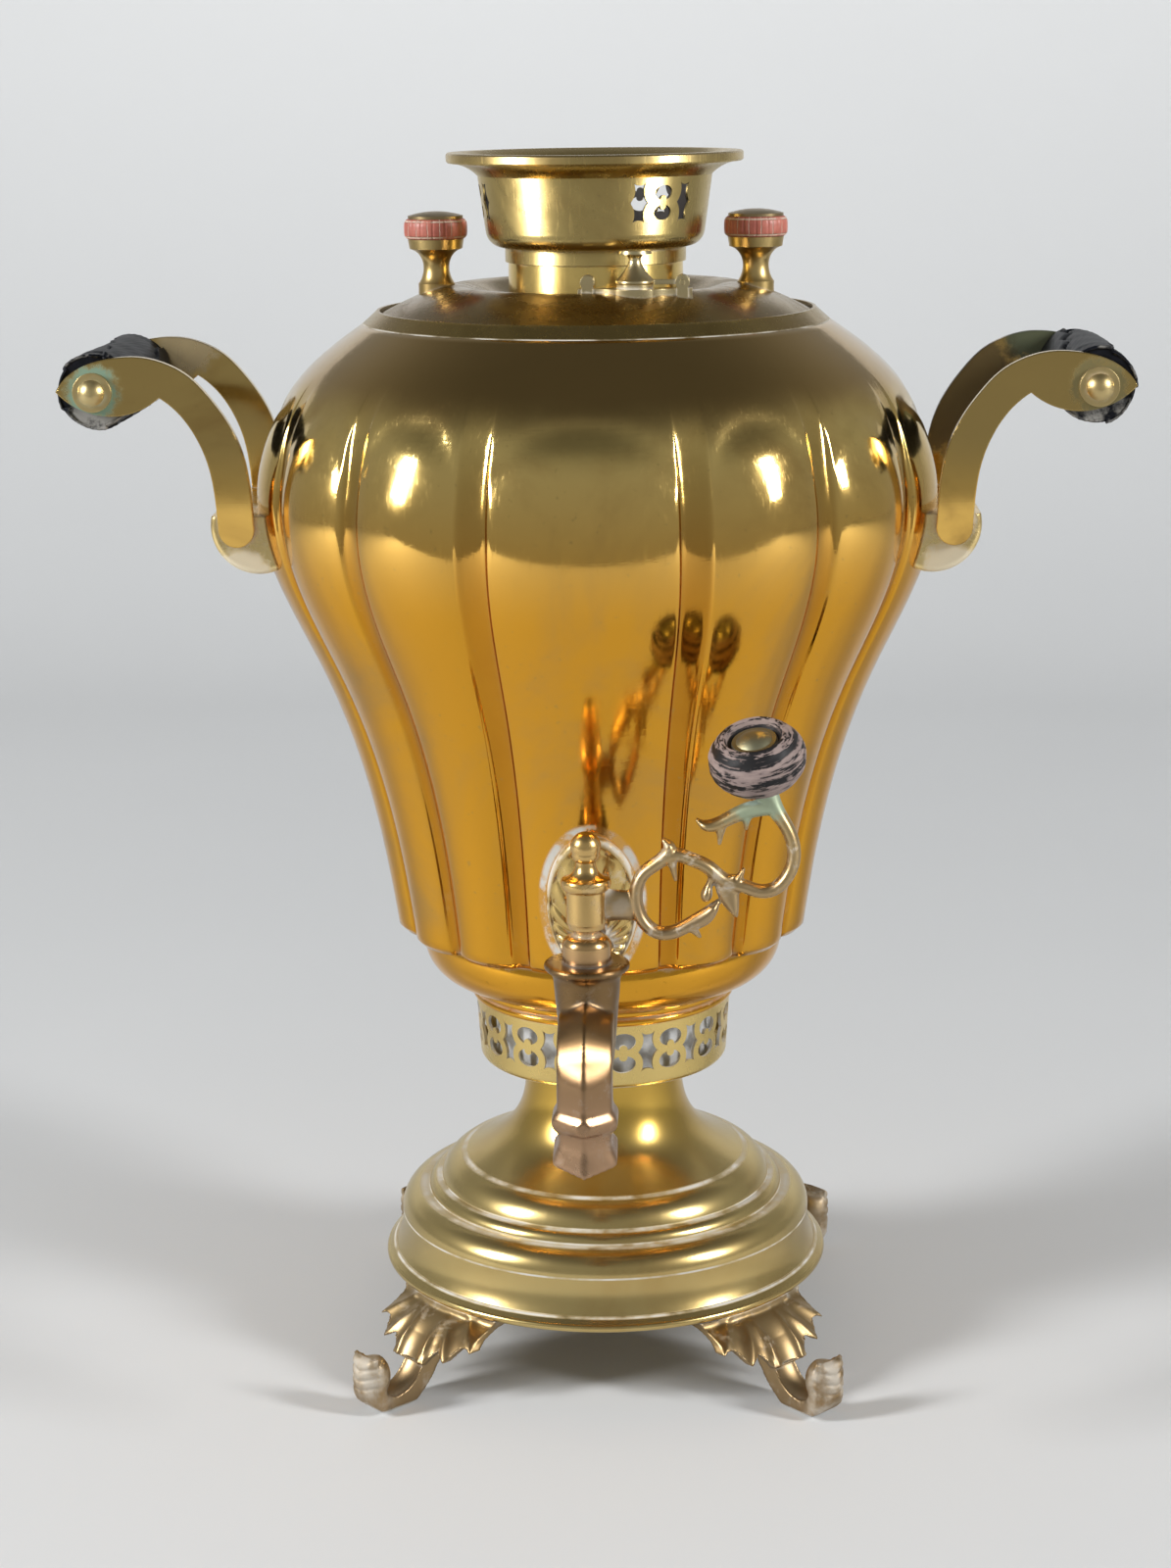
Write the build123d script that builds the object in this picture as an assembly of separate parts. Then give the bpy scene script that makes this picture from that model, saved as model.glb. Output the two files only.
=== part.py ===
from build123d import *
import os
from math import cos, hypot, radians, sin

# A charcoal-fired brass samovar. Millimetres, +Z up, the tap towards -Y, handles along X.
# The origin is on the samovar's own axis, in the plane that its four feet stand on.

# ---- Clearances and sheet thicknesses ----
RUNNING = 0.10            # radial, a shaft or plug that turns in a bore
LIFT_OUT = 0.6            # radial, pieces that lift off by hand
SIDE_PLAY = 0.6           # end play of a turning piece between its cheeks
SHEET = 1.2               # spun brass
BODY_WALL = 1.6           # pressed brass of the body
CAST_WALL = 2.4           # cast brass of the base

# ---- Feet ----
FOOT_HEIGHT = 34.8        # from the table to the underside of the rim
FOOT_TOE_R = 110.5        # radius of the flat that touches the table
FOOT_TOE_FLAT = 5.0
FOOT_TONGUE_WIDTH = 13.0
FOOT_APRON_WIDTH = 57.0
FOOT_APRON_FLARE = 17.5   # how far the lowest leaf edges stand out past the rim
FOOT_APRON_DROP = 18.0
FOOT_APRON_THICK = 3.2

# ---- Base ----
RIM_R = 89.2
RIM_HEIGHT = 5.1
RIM_BORE_R = 66.0
SKIRT_FOOT_R = 85.2
SKIRT_EDGE_R = 82.4       # top edge of the plain band
SKIRT_BAND = 13.8         # height of the plain band
SKIRT_TOP_R = 72.0
SKIRT_HEIGHT = 23.2
STEP_LOW_R = 66.3
STEP_LOW_HEIGHT = 4.3
STEP_HIGH_R = 57.1
STEP_HIGH_HEIGHT = 13.6
STEM_R = 31.7
STEM_NECK_HEIGHT = 42.0   # height above the skirt where the stem is slimmest
PEDESTAL_HEIGHT = 55.2

# ---- Pierced gallery round the air chamber ----
GALLERY_FOOT_R = 49.3
GALLERY_TOP_R = 50.7
GALLERY_HEIGHT = 26.2
GALLERY_CORNER = 3.0
GALLERY_REPEATS = 16
GALLERY_MOTIF_HEIGHT = 16.4
GALLERY_MOTIF_Z = 15.0    # middle of the piercing above the gallery floor
LINER_R = 43.0
LINER_HEIGHT = 23.4

# ---- Lower bowl ----
BOWL_BEAD_R = 53.0
BOWL_NECK_HEIGHT = 8.4    # gallery top to the start of the bowl's curve
BOWL_HEIGHT = 28.1
SEAM_R = 70.2

# ---- Lobed body ----
LOBE_FOOT_R = 81.0        # lower corner of the lobes
LOBE_FOOT_HEIGHT = 3.6    # that corner above the seam
BELLY_R = 130.7
BELLY_HEIGHT = 171.0
MOUTH_R = 88.4
BODY_HEIGHT = 237.2
SIDE_LOBES = 6            # on each side, between the wide front and back lobes
FRONT_LOBE_HALF_TOP = 18.0      # degrees, at the belly
FRONT_LOBE_HALF_FOOT = 21.0     # degrees, at the foot of the lobes
FRONT_FLUTE_HALF = 2.5          # degrees
SIDE_FLUTE_HALF = 1.9           # degrees
LOBE_RISE = 3.2           # middle of a lobe above its edges
FLUTE_DEPTH = 1.8         # middle of a flute below its edges
FLUTE_FADE_START = 184.0  # heights above the seam where the lobes begin and end to fade
FLUTE_FADE_END = 222.0
BODY_SECTIONS = 15

# ---- Lid and its seat ----
SEAT_RISE = 4.8
SEAT_TOP_R = 83.2
SEAT_INNER_R = 82.0
SEAT_LEDGE_R = 75.5
SEAT_LEDGE_DEPTH = 5.6    # ledge below the top of the seat ring
LID_CREST_R = 53.0
LID_CREST_RISE = 9.0      # crest above the top of the seat ring
LID_DIP = 6.5             # inner edge below the crest
LID_HOLE_PLAY = 1.5       # radial gap round the chimney
LID_KNOB_X = 60.4
KNOB_STEM_FOOT_R = 6.9
KNOB_STEM_WAIST_R = 4.9
KNOB_CUP_R = 10.6
KNOB_STEM_HEIGHT = 19.0   # lid crest to the underside of the ring
KNOB_RING_R = 11.9
KNOB_RING_HEIGHT = 7.6
KNOB_CAP_R = 10.4
KNOB_CAP_HEIGHT = 2.6
KNOB_PIN_R = 2.5

# ---- Steam vent on the lid ----
VENT_X = 16.3
VENT_Y = -49.2
VENT_TUBE_R = 6.6
VENT_BORE_R = 3.2
VENT_TUBE_RISE = 2.8      # above the lid crest
VENT_PLATE_THICK = 1.4
VENT_REACH = 17.2         # vent axis to hinge pin
VENT_LUG_R = 2.6
VENT_LUG_THICK = 1.5
VENT_LUG_GAP = 3.4
VENT_PIN_R = 0.9
VENT_EYE_R = 1.9
VENT_CAP_THICK = 1.8
VENT_KNOB_HEIGHT = 10.4
VENT_KNOB_TOP_R = 6.2
VENT_KNOB_WAIST_R = 2.3

# ---- Fire tube, grate and crown ----
CHIMNEY_R = 33.0
CHIMNEY_RISE = 22.9       # chimney top above the top of the seat ring
TUBE_WALL = 1.5
FIREPOT_R = 45.5
FIREPOT_HEIGHT = 150.0
FIREPOT_TAPER = 90.0
GRATE_THICK = 3.0
GRATE_SLOTS = 7
GRATE_SLOT_WIDTH = 4.4
GRATE_PITCH = 9.6
CROWN_SLEEVE_DEPTH = 5.4
CROWN_SLEEVE_WALL = 1.0
CROWN_BULGE_R = 41.3
CROWN_BULGE_HEIGHT = 5.7
CROWN_BAND_TOP_R = 44.1
CROWN_BAND_HEIGHT = 20.7
CROWN_LIP_R = 55.8
CROWN_FLARE_HEIGHT = 4.8
CROWN_LIP_HEIGHT = 3.7
CROWN_MOTIF_HEIGHT = 12.8
CROWN_SLOT_HEIGHT = 14.6
CROWN_MOTIF_STEP = 13.5   # degrees between neighbours in a group
CROWN_GROUP_ANGLES = (38.0, 158.0, 278.0)   # from the front, towards +X

# ---- Handles ----
ROD_X = 185.0
ROD_ABOVE_SEAM = 215.4
ROD_R = 3.0
ARM_GAP = 80.0            # between the inner faces of a handle's two arms
ARM_THICK = 3.2
WASHER_R = 7.3
WASHER_THICK = 1.8
NUT_R = 4.9
NUT_HEIGHT = 3.6
GRIP_R = 14.9
GRIP_ROUND = 3.0
SADDLE_R = 18.0
SADDLE_IN = 59.0          # saddle's centre inward of the rod and below it
SADDLE_DOWN = 51.0
SADDLE_END_SLANT = 50.0   # degrees that each end is cut back towards the body
SADDLE_SLANT_START = 4.0  # where that cut begins, outward of the saddle's centre
SADDLE_TOP_CUT = 4.0      # top of the saddle above its centre

# ---- Tap ----
TAIL_ABOVE_SEAM = 13.4
TAIL_R = 8.2
TAIL_BORE_R = 4.0
SHELL_PLATE_WIDTH = 34.0
SHELL_PLATE_HEIGHT = 55.5
SHELL_PLATE_THICK = 5.0
SHELL_PLATE_RIM = 1.8     # below the tap's tail
SHELL_RIBS = 9
TAIL_NUT_R = 11.8
TAIL_NUT_THICK = 7.0
PLUG_Y = -130.0
BARREL_TOP_R = 12.0
BARREL_FOOT_R = 9.3
BARREL_HEIGHT = 40.0
FLANGE_R = 15.3
FLANGE_THICK = 2.6
PLUG_TOP_R = 7.4
PLUG_FOOT_R = 5.8
PORT_R = 3.8
PORT_BELOW_FLANGE = 20.0
SPOUT_R = 11.2            # across the corners of its hexagon
SPOUT_BORE_R = 5.2
SPOUT_BELOW_FLANGE = 22.6
SPOUT_BEND_R = 14.0
SPOUT_REACH = 24.5        # plug axis to the axis of the falling spout
SPOUT_RING_R = 13.4
SPOUT_RING_HEIGHT = 8.0
NOZZLE_R = 13.8
NOZZLE_HEIGHT = 9.2       # under the ring, at its middle
SPOUT_DROP = 8.8          # from the end of the bend to the ring
NOZZLE_TILT = 27.0        # degrees that its mouth is cut away from level
KEY_THICK = 7.6
KEY_STROKE = 3.4
KNOB_X = 60.1             # key knob, out from the plug axis
KNOB_RISE = 73.6          # and above the flange
KNOB_R = 17.2
KNOB_HALF_HEIGHT = 10.2
KNOB_DISH = 3.2           # depth of the dish that the rivet sits in
KNOB_TILT_FRONT = 20.0
KNOB_TILT_SIDE = 9.0
RIVET_R = 6.4
RIVET_WASHER_R = 8.2
RIVET_SHANK_R = 2.5
PLUG_WASHER_R = 8.0
PLUG_WASHER_THICK = 1.4
PLUG_SCREW_R = 4.2
PLUG_SCREW_HEIGHT = 3.0

# ---- Heights of the stack, from the table up ----
RIM_Z = FOOT_HEIGHT
SKIRT_Z = RIM_Z + RIM_HEIGHT
PEDESTAL_Z = SKIRT_Z + SKIRT_HEIGHT
GALLERY_Z = PEDESTAL_Z + PEDESTAL_HEIGHT
BOWL_Z = GALLERY_Z + GALLERY_HEIGHT
SEAM_Z = BOWL_Z + BOWL_HEIGHT
MOUTH_Z = SEAM_Z + BODY_HEIGHT
SEAT_Z = MOUTH_Z + SEAT_RISE
LEDGE_Z = SEAT_Z - SEAT_LEDGE_DEPTH
CREST_Z = SEAT_Z + LID_CREST_RISE
CHIMNEY_Z = SEAT_Z + CHIMNEY_RISE
FIRE_FLOOR_Z = BOWL_Z + 4.0
ROD_Z = SEAM_Z + ROD_ABOVE_SEAM
TAIL_Z = SEAM_Z + TAIL_ABOVE_SEAM
FLANGE_Z = TAIL_Z + 9.5
VENT_PIN_Z = CREST_Z + VENT_TUBE_RISE + VENT_CAP_THICK / 2


# ---- Helpers ----

def outlined(*lines):
    """The flat face inside a closed run of lines."""
    return make_face([edge for line in lines for edge in line.edges()])


def turned(*lines):
    """A solid turned round the samovar's axis from its closed outline in the XZ plane."""
    return revolve(outlined(*lines), Axis.Z)


def turned_polygon(points):
    """A turned solid whose outline is straight between its (radius, height) points."""
    return turned(Polyline(*[at(r, z) for r, z in points], close=True))


def at(r, z):
    """A point of a turned outline: radius and height."""
    return (r, 0, z)


def dome(r, low, high):
    """The arc of a round top centred on the axis, from its edge up to its middle."""
    rise = high - low
    ball = (r * r + rise * rise) / (2 * rise)
    return ThreePointArc(at(r, low), at(r / 2, high - ball + (ball * ball - r * r / 4) ** 0.5),
                         at(0, high))


def ring(outer, inner, low, high):
    """A plain ring round the samovar's axis."""
    return turned_polygon([(inner, low), (outer, low), (outer, high), (inner, high)])


def inset(outline, wall):
    """The outline's points moved square to it by the wall, to the left of its direction."""
    moved = []
    last = len(outline) - 1
    for i, (r, z) in enumerate(outline):
        before = outline[max(i - 1, 0)]
        after = outline[min(i + 1, last)]
        run, rise = after[0] - before[0], after[1] - before[1]
        length = hypot(run, rise)
        moved.append((r - wall * rise / length, z + wall * run / length))
    return moved


def ribbon(stations):
    """A flat face along a smooth line of (x, y, width) stations."""
    last = len(stations) - 1
    left, right = [], []
    for i, (x, y, width) in enumerate(stations):
        before, after = stations[max(i - 1, 0)], stations[min(i + 1, last)]
        run, rise = after[0] - before[0], after[1] - before[1]
        side = width / 2 / hypot(run, rise)
        left.append((x - rise * side, y + run * side))
        right.append((x + rise * side, y - run * side))
    return outlined(Spline(*left), Line(left[-1], right[-1]), Spline(*right),
                    Line(left[0], right[0]))


def around(shape, angle):
    """The shape turned about the samovar's axis, from the front towards +X."""
    return shape.rotate(Axis.Z, angle)


# ---- Feet and base ----

def foot(angle):
    """One cast foot: a leaf-edged apron under the rim, and a tongue that curls up at its toe."""
    top_r = RIM_R - 1.2
    out_r = top_r + FOOT_APRON_FLARE
    low = FOOT_HEIGHT - FOOT_APRON_DROP
    thick = FOOT_APRON_THICK
    apron = turned(
        Line(at(top_r - 9, FOOT_HEIGHT), at(top_r, FOOT_HEIGHT)),
        Line(at(top_r, FOOT_HEIGHT), at(top_r + 0.3, FOOT_HEIGHT - 2.4)),
        ThreePointArc(at(top_r + 0.3, FOOT_HEIGHT - 2.4), at(out_r - 4.4, low + 6.6), at(out_r, low)),
        Line(at(out_r, low), at(out_r - thick, low - 1.0)),
        ThreePointArc(at(out_r - thick, low - 1.0), at(out_r - 4.6 - thick, low + 4.8),
                      at(top_r - 4, FOOT_HEIGHT - 4.4)),
        Line(at(top_r - 4, FOOT_HEIGHT - 4.4), at(top_r - 9, FOOT_HEIGHT - 3.4)),
        Line(at(top_r - 9, FOOT_HEIGHT - 3.4), at(top_r - 9, FOOT_HEIGHT)),
    )
    half = FOOT_APRON_WIDTH / 2
    top = FOOT_HEIGHT + 1
    leaf = outlined(
        Line((0, top), (half + 1, top)),
        ThreePointArc((half + 1, top), (half - 2.6, top - 5), (half - 0.8, top - 11.8)),
        ThreePointArc((half - 0.8, top - 11.8), (half - 3.8, top - 10.4), (half - 6.8, top - 10.2)),
        ThreePointArc((half - 6.8, top - 10.2), (half - 8.6, top - 13.0), (half - 10.4, top - 16.2)),
        ThreePointArc((half - 10.4, top - 16.2), (half - 13.2, top - 14.8), (half - 15.6, top - 13.0)),
        ThreePointArc((half - 15.6, top - 13.0), (half - 18.4, top - 16.4), (half - 20.0, low)),
        Line((half - 20.0, low), (half - 20.0, low - 3)),
        Line((half - 20.0, low - 3), (0, low - 3)),
        Line((0, low - 3), (0, top)),
    )
    leaves = leaf + leaf.mirror(Plane.YZ)
    apron = apron & extrude(Plane.XZ * leaves, 130)
    toe = FOOT_TOE_R
    flat = FOOT_TOE_FLAT / 2
    tongue = outlined(
        Line((toe - flat, 0), (toe + flat, 0)),
        ThreePointArc((toe + flat, 0), (toe + 17.8, 8.6), (toe + 18.2, 20.8)),
        ThreePointArc((toe + 18.2, 20.8), (toe + 16.4, 24.2), (toe + 13.0, 24.6)),
        ThreePointArc((toe + 13.0, 24.6), (toe + 12.6, 13.4), (toe + 4.4, 6.4)),
        Spline((toe + 4.4, 6.4), (toe - 5.0, 10.6), (toe - 13.4, 24.0), (top_r, FOOT_HEIGHT - 2.4)),
        Line((top_r, FOOT_HEIGHT - 2.4), (top_r - 9, FOOT_HEIGHT - 2.4)),
        Spline((top_r - 9, FOOT_HEIGHT - 2.4), (toe - 20.0, 20.0), (toe - 11.0, 6.4),
               (toe - flat, 0)),
    )
    bar = extrude(Plane.YZ * tongue, FOOT_TONGUE_WIDTH, both=True).mirror(Plane.XZ)
    narrow = FOOT_TONGUE_WIDTH / 2
    wide = narrow + 2.4
    end = toe + 19.4
    plan = outlined(
        Line((-wide, 9 - top_r), (wide, 9 - top_r)),
        Spline((wide, 9 - top_r), (narrow - 0.8, -toe + 8), (narrow, -toe - 8)),
        ThreePointArc((narrow, -toe - 8), (0, -end), (-narrow, -toe - 8)),
        Spline((-narrow, -toe - 8), (0.8 - narrow, -toe + 8), (-wide, 9 - top_r)),
    )
    bar = bar & extrude(plan, FOOT_HEIGHT)
    for side in (-1, 1):
        edge = Pos(side * 3.4, -toe, 0) * Rot(0, -side * 38, 0) * Pos(side * 20, 0, -10)
        bar = bar - edge * Box(40, 80, 20)
    return around(apron + bar, angle)


def base_rim():
    z = RIM_Z
    return turned(
        Line(at(RIM_BORE_R, z), at(RIM_R - 1.2, z)),
        ThreePointArc(at(RIM_R - 1.2, z), at(RIM_R, z + 1.4), at(RIM_R - 1.1, z + 3.0)),
        Line(at(RIM_R - 1.1, z + 3.0), at(SKIRT_FOOT_R + 0.5, SKIRT_Z)),
        Line(at(SKIRT_FOOT_R + 0.5, SKIRT_Z), at(RIM_BORE_R, SKIRT_Z)),
        Line(at(RIM_BORE_R, SKIRT_Z), at(RIM_BORE_R, z)),
    )


def base_skirt():
    z = SKIRT_Z
    edge_z = z + SKIRT_BAND
    top_z = PEDESTAL_Z
    wall = CAST_WALL
    return turned(
        Line(at(SKIRT_FOOT_R - wall, z), at(SKIRT_FOOT_R, z)),
        ThreePointArc(at(SKIRT_FOOT_R, z), at(SKIRT_FOOT_R - 2.0, z + 5), at(SKIRT_EDGE_R, edge_z)),
        ThreePointArc(at(SKIRT_EDGE_R, edge_z), at(SKIRT_EDGE_R - 2.2, edge_z + 6.3),
                      at(SKIRT_TOP_R, top_z)),
        Line(at(SKIRT_TOP_R, top_z), at(SKIRT_TOP_R - 6.5, top_z)),
        Line(at(SKIRT_TOP_R - 6.5, top_z), at(SKIRT_TOP_R - 6.5, top_z - wall)),
        ThreePointArc(at(SKIRT_TOP_R - 6.5, top_z - wall), at(SKIRT_EDGE_R - 5.2, edge_z + 4.6),
                      at(SKIRT_EDGE_R - wall - 0.4, edge_z - 1)),
        Line(at(SKIRT_EDGE_R - wall - 0.4, edge_z - 1), at(SKIRT_FOOT_R - wall, z)),
    )


def base_pedestal():
    """Two rolled steps, then a trumpet that rises into the stem."""
    z = PEDESTAL_Z
    low_z = z + STEP_LOW_HEIGHT
    high_z = z + STEP_HIGH_HEIGHT
    neck_z = z + STEM_NECK_HEIGHT
    run = STEP_HIGH_R - STEM_R
    rise = neck_z - high_z
    trumpet = [
        (STEP_HIGH_R - 0.8, high_z + 0.3), (STEM_R + run * 0.56, high_z + rise * 0.20),
        (STEM_R + run * 0.24, high_z + rise * 0.45), (STEM_R + run * 0.06, high_z + rise * 0.75),
        (STEM_R, neck_z), (STEM_R, GALLERY_Z),
    ]
    inside = inset(trumpet, SHEET * 1.5)
    outer = Spline(*[at(r, h) for r, h in trumpet])
    inner = Spline(*[at(r, h) for r, h in inside])
    return turned(
        Line(at(SKIRT_TOP_R - 3.6, z), at(SKIRT_TOP_R - 0.6, z)),
        ThreePointArc(at(SKIRT_TOP_R - 0.6, z), at(SKIRT_TOP_R - 1.6, z + 2.6), at(STEP_LOW_R, low_z)),
        ThreePointArc(at(STEP_LOW_R, low_z), at(STEP_LOW_R - 2.6, low_z + 5.2), at(STEP_HIGH_R, high_z)),
        Line(at(STEP_HIGH_R, high_z), at(*trumpet[0])),
        outer,
        Line(at(*trumpet[-1]), at(*inside[-1])),
        inner,
        Line(at(*inside[0]), at(STEP_LOW_R - 5.0, low_z + 2.4)),
        Line(at(STEP_LOW_R - 5.0, low_z + 2.4), at(SKIRT_TOP_R - 3.6, z)),
    )


# ---- Pierced work ----

def figure_eight(height):
    """The two kidney-shaped openings of one figure of eight, centred on the origin."""
    openings = []
    for up in (-1, 1):
        eye = Pos(0, up * height * 0.28) * Ellipse(height * 0.30, height * 0.215)
        pin = Pos(0, up * height * 0.10) * Circle(height * 0.10)
        openings.append(eye - pin)
    return openings


def star_slot(height):
    """The slot between two figures: three spikes a side, its edges hollow between them."""
    spike, side, waist, end = height / 2, height * 0.245, height * 0.12, height * 0.43
    corner = height * 0.17
    right = [
        ThreePointArc((0, end), (corner * 0.6, end + 0.3), (corner, spike)),
        ThreePointArc((corner, spike), (waist, spike * 0.55), (side, 0)),
        ThreePointArc((side, 0), (waist, -spike * 0.55), (corner, -spike)),
        ThreePointArc((corner, -spike), (corner * 0.6, -end - 0.3), (0, -end)),
        Line((0, -end), (0, end)),
    ]
    half = outlined(*right)
    return half + half.mirror(Plane.YZ)


def piercing(sketch, radius, angle, height):
    """A tool that cuts the sketch radially through a wall at this radius and angle."""
    tool = extrude(Plane.XZ * sketch, 5, both=True)
    return around(Pos(0, -radius, height) * tool, angle)


def gallery():
    z = GALLERY_Z
    wall = SHEET
    floor_z = z + wall
    corner = GALLERY_CORNER
    shell = turned(
        Line(at(STEM_R - 8, z), at(GALLERY_FOOT_R - corner, z)),
        ThreePointArc(at(GALLERY_FOOT_R - corner, z),
                      at(GALLERY_FOOT_R - corner * 0.29, z + corner * 0.29),
                      at(GALLERY_FOOT_R, z + corner)),
        Line(at(GALLERY_FOOT_R, z + corner), at(GALLERY_TOP_R, BOWL_Z)),
        Line(at(GALLERY_TOP_R, BOWL_Z), at(GALLERY_TOP_R - wall, BOWL_Z)),
        Line(at(GALLERY_TOP_R - wall, BOWL_Z), at(GALLERY_FOOT_R - wall, z + corner)),
        Line(at(GALLERY_FOOT_R - wall, z + corner), at(GALLERY_FOOT_R - corner, floor_z)),
        Line(at(GALLERY_FOOT_R - corner, floor_z), at(STEM_R - 8, floor_z)),
        Line(at(STEM_R - 8, floor_z), at(STEM_R - 8, z)),
    )
    middle = z + GALLERY_MOTIF_Z
    pitch = 360 / GALLERY_REPEATS
    height = GALLERY_MOTIF_HEIGHT
    tools = []
    for i in range(GALLERY_REPEATS):
        for eye in figure_eight(height):
            tools.append(piercing(eye, GALLERY_TOP_R, pitch * (i + 0.5), middle))
        tools.append(piercing(star_slot(height), GALLERY_TOP_R, pitch * i, middle))
    return shell - tools


def gallery_liner():
    """The ash cup that stands on the gallery's floor."""
    z = GALLERY_Z + SHEET
    cup = ring(LINER_R, 0, z, z + LINER_HEIGHT)
    return cup - ring(LINER_R - SHEET, 0, z + SHEET, z + LINER_HEIGHT)


# ---- Lower bowl and body ----

def lower_bowl():
    """Two beads over the gallery, a full round bowl, and the flat floor round the firepot."""
    z = BOWL_Z
    inner_r = GALLERY_TOP_R - SHEET
    neck_r = GALLERY_TOP_R + 0.4
    bowl_r = BOWL_BEAD_R + 0.6
    bowl_z = z + BOWL_NECK_HEIGHT
    wall = BODY_WALL
    wide = SEAM_R - bowl_r
    tall = SEAM_Z - bowl_z
    full = 0.77
    bulge = (bowl_r + wide * full, SEAM_Z - tall * full)
    inner_bulge = (bulge[0] - wall * 0.7, bulge[1] + wall * 0.7)
    floor_top = FIRE_FLOOR_Z + wall
    return turned(
        Line(at(inner_r, z), at(neck_r, z)),
        ThreePointArc(at(neck_r, z), at(neck_r + 1.2, z + 1.5), at(neck_r, z + 3.0)),
        Line(at(neck_r, z + 3.0), at(neck_r + 0.3, z + 3.6)),
        ThreePointArc(at(neck_r + 0.3, z + 3.6), at(BOWL_BEAD_R + 0.4, z + 5.4),
                      at(neck_r + 0.8, z + 7.4)),
        Line(at(neck_r + 0.8, z + 7.4), at(bowl_r, bowl_z)),
        ThreePointArc(at(bowl_r, bowl_z), at(*bulge), at(SEAM_R, SEAM_Z)),
        Line(at(SEAM_R, SEAM_Z), at(SEAM_R - wall, SEAM_Z)),
        ThreePointArc(at(SEAM_R - wall, SEAM_Z), at(*inner_bulge), at(bowl_r - 1, bowl_z + wall)),
        Line(at(bowl_r - 1, bowl_z + wall), at(inner_r, floor_top + 1)),
        Line(at(inner_r, floor_top + 1), at(FIREPOT_R, floor_top)),
        Line(at(FIREPOT_R, floor_top), at(FIREPOT_R, FIRE_FLOOR_Z)),
        Line(at(FIREPOT_R, FIRE_FLOOR_Z), at(inner_r, FIRE_FLOOR_Z)),
        Line(at(inner_r, FIRE_FLOOR_Z), at(inner_r, z)),
    )


def body_outline():
    """The body's side from the foot of its lobes to its mouth, as one smooth line."""
    belly = BELLY_HEIGHT
    shoulder = BODY_HEIGHT - belly
    grow = BELLY_R - LOBE_FOOT_R
    close = BELLY_R - MOUTH_R
    return Spline(
        (LOBE_FOOT_R, LOBE_FOOT_HEIGHT),
        (LOBE_FOOT_R + grow * 0.10, belly * 0.20),
        (LOBE_FOOT_R + grow * 0.29, belly * 0.43),
        (LOBE_FOOT_R + grow * 0.55, belly * 0.63),
        (LOBE_FOOT_R + grow * 0.84, belly * 0.81),
        (BELLY_R, belly + 1),
        (BELLY_R - close * 0.12, belly + shoulder * 0.39),
        (BELLY_R - close * 0.42, belly + shoulder * 0.70),
        (MOUTH_R, BODY_HEIGHT),
    )


def flute_angles(height):
    """Each flute's middle and half width, from the front round to the front, in degrees."""
    up = min(max(height / BELLY_HEIGHT, 0), 1)
    front = FRONT_LOBE_HALF_FOOT + (FRONT_LOBE_HALF_TOP - FRONT_LOBE_HALF_FOOT) * up
    step = (180 - 2 * front) / SIDE_LOBES
    right = [front + step * i for i in range(SIDE_LOBES + 1)]
    middles = right + [360 - a for a in reversed(right)]
    wide = (0, SIDE_LOBES, SIDE_LOBES + 1, 2 * SIDE_LOBES + 1)
    return [(a, FRONT_FLUTE_HALF if i in wide else SIDE_FLUTE_HALF) for i, a in enumerate(middles)]


def polar(r, angle, z):
    """A point at an angle from the front towards +X."""
    return (r * sin(radians(angle)), -r * cos(radians(angle)), z)


def lobed_wire(r, height, depth):
    """One section of the body: arcs for its lobes, with hollow flutes between them."""
    z = SEAM_Z + height
    edge_r = r - LOBE_RISE * depth
    flute_r = edge_r - FLUTE_DEPTH * depth
    flutes = flute_angles(height)
    edges = []
    for i, (middle, half) in enumerate(flutes):
        after, after_half = flutes[(i + 1) % len(flutes)]
        after += 360 if after < middle else 0
        start, end = middle + half, after - after_half
        if depth == 0:
            half_r = r
        else:
            half_r = flute_r
        edges.append(ThreePointArc(polar(edge_r, middle - half, z), polar(half_r, middle, z),
                                   polar(edge_r, middle + half, z)))
        edges.append(ThreePointArc(polar(edge_r, start, z), polar(r, (start + end) / 2, z),
                                   polar(edge_r, end, z)))
    return Wire([e for line in edges for e in line.edges()])


def fade(height):
    """How deep the flutes are at this height, from 1 at the belly to 0 at the shoulder."""
    share = (height - FLUTE_FADE_START) / (FLUTE_FADE_END - FLUTE_FADE_START)
    share = min(max(share, 0), 1)
    return 1 - share * share * (3 - 2 * share)


def body_solid(wall):
    """The lobed body as a full solid, its sides moved in by the wall."""
    outline = body_outline()
    sections = []
    for i in range(BODY_SECTIONS):
        point = outline @ (i / (BODY_SECTIONS - 1))
        sections.append(lobed_wire(point.X - wall, point.Y, fade(point.Y)))
    sides = Solid.make_loft(sections)
    foot_r = LOBE_FOOT_R - wall
    corner = [
        lobed_wire(SEAM_R - wall, 0, 0.35),
        lobed_wire(foot_r - 2.6, LOBE_FOOT_HEIGHT * 0.3, 0.9),
        lobed_wire(foot_r, LOBE_FOOT_HEIGHT, 1),
    ]
    foot_part = Solid.make_loft(corner, ruled=True)
    return sides + foot_part


def body_cavity():
    """The space inside the body, above its flat bottom."""
    floor_z = SEAM_Z + LOBE_FOOT_HEIGHT * 0.3 + BODY_WALL
    return body_solid(BODY_WALL) - ring(BELLY_R, 0, SEAM_Z - 1, floor_z)


def body_shell(outer, cavity):
    well = ring(SEAM_R - 2 * BODY_WALL, 0, SEAM_Z - 1, SEAM_Z + LOBE_FOOT_HEIGHT + BODY_WALL + 1)
    tail_hole = tap_line_y(TAIL_R, TAIL_Z, 0, -BELLY_R)
    return outer - cavity - well - tail_hole


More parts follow.
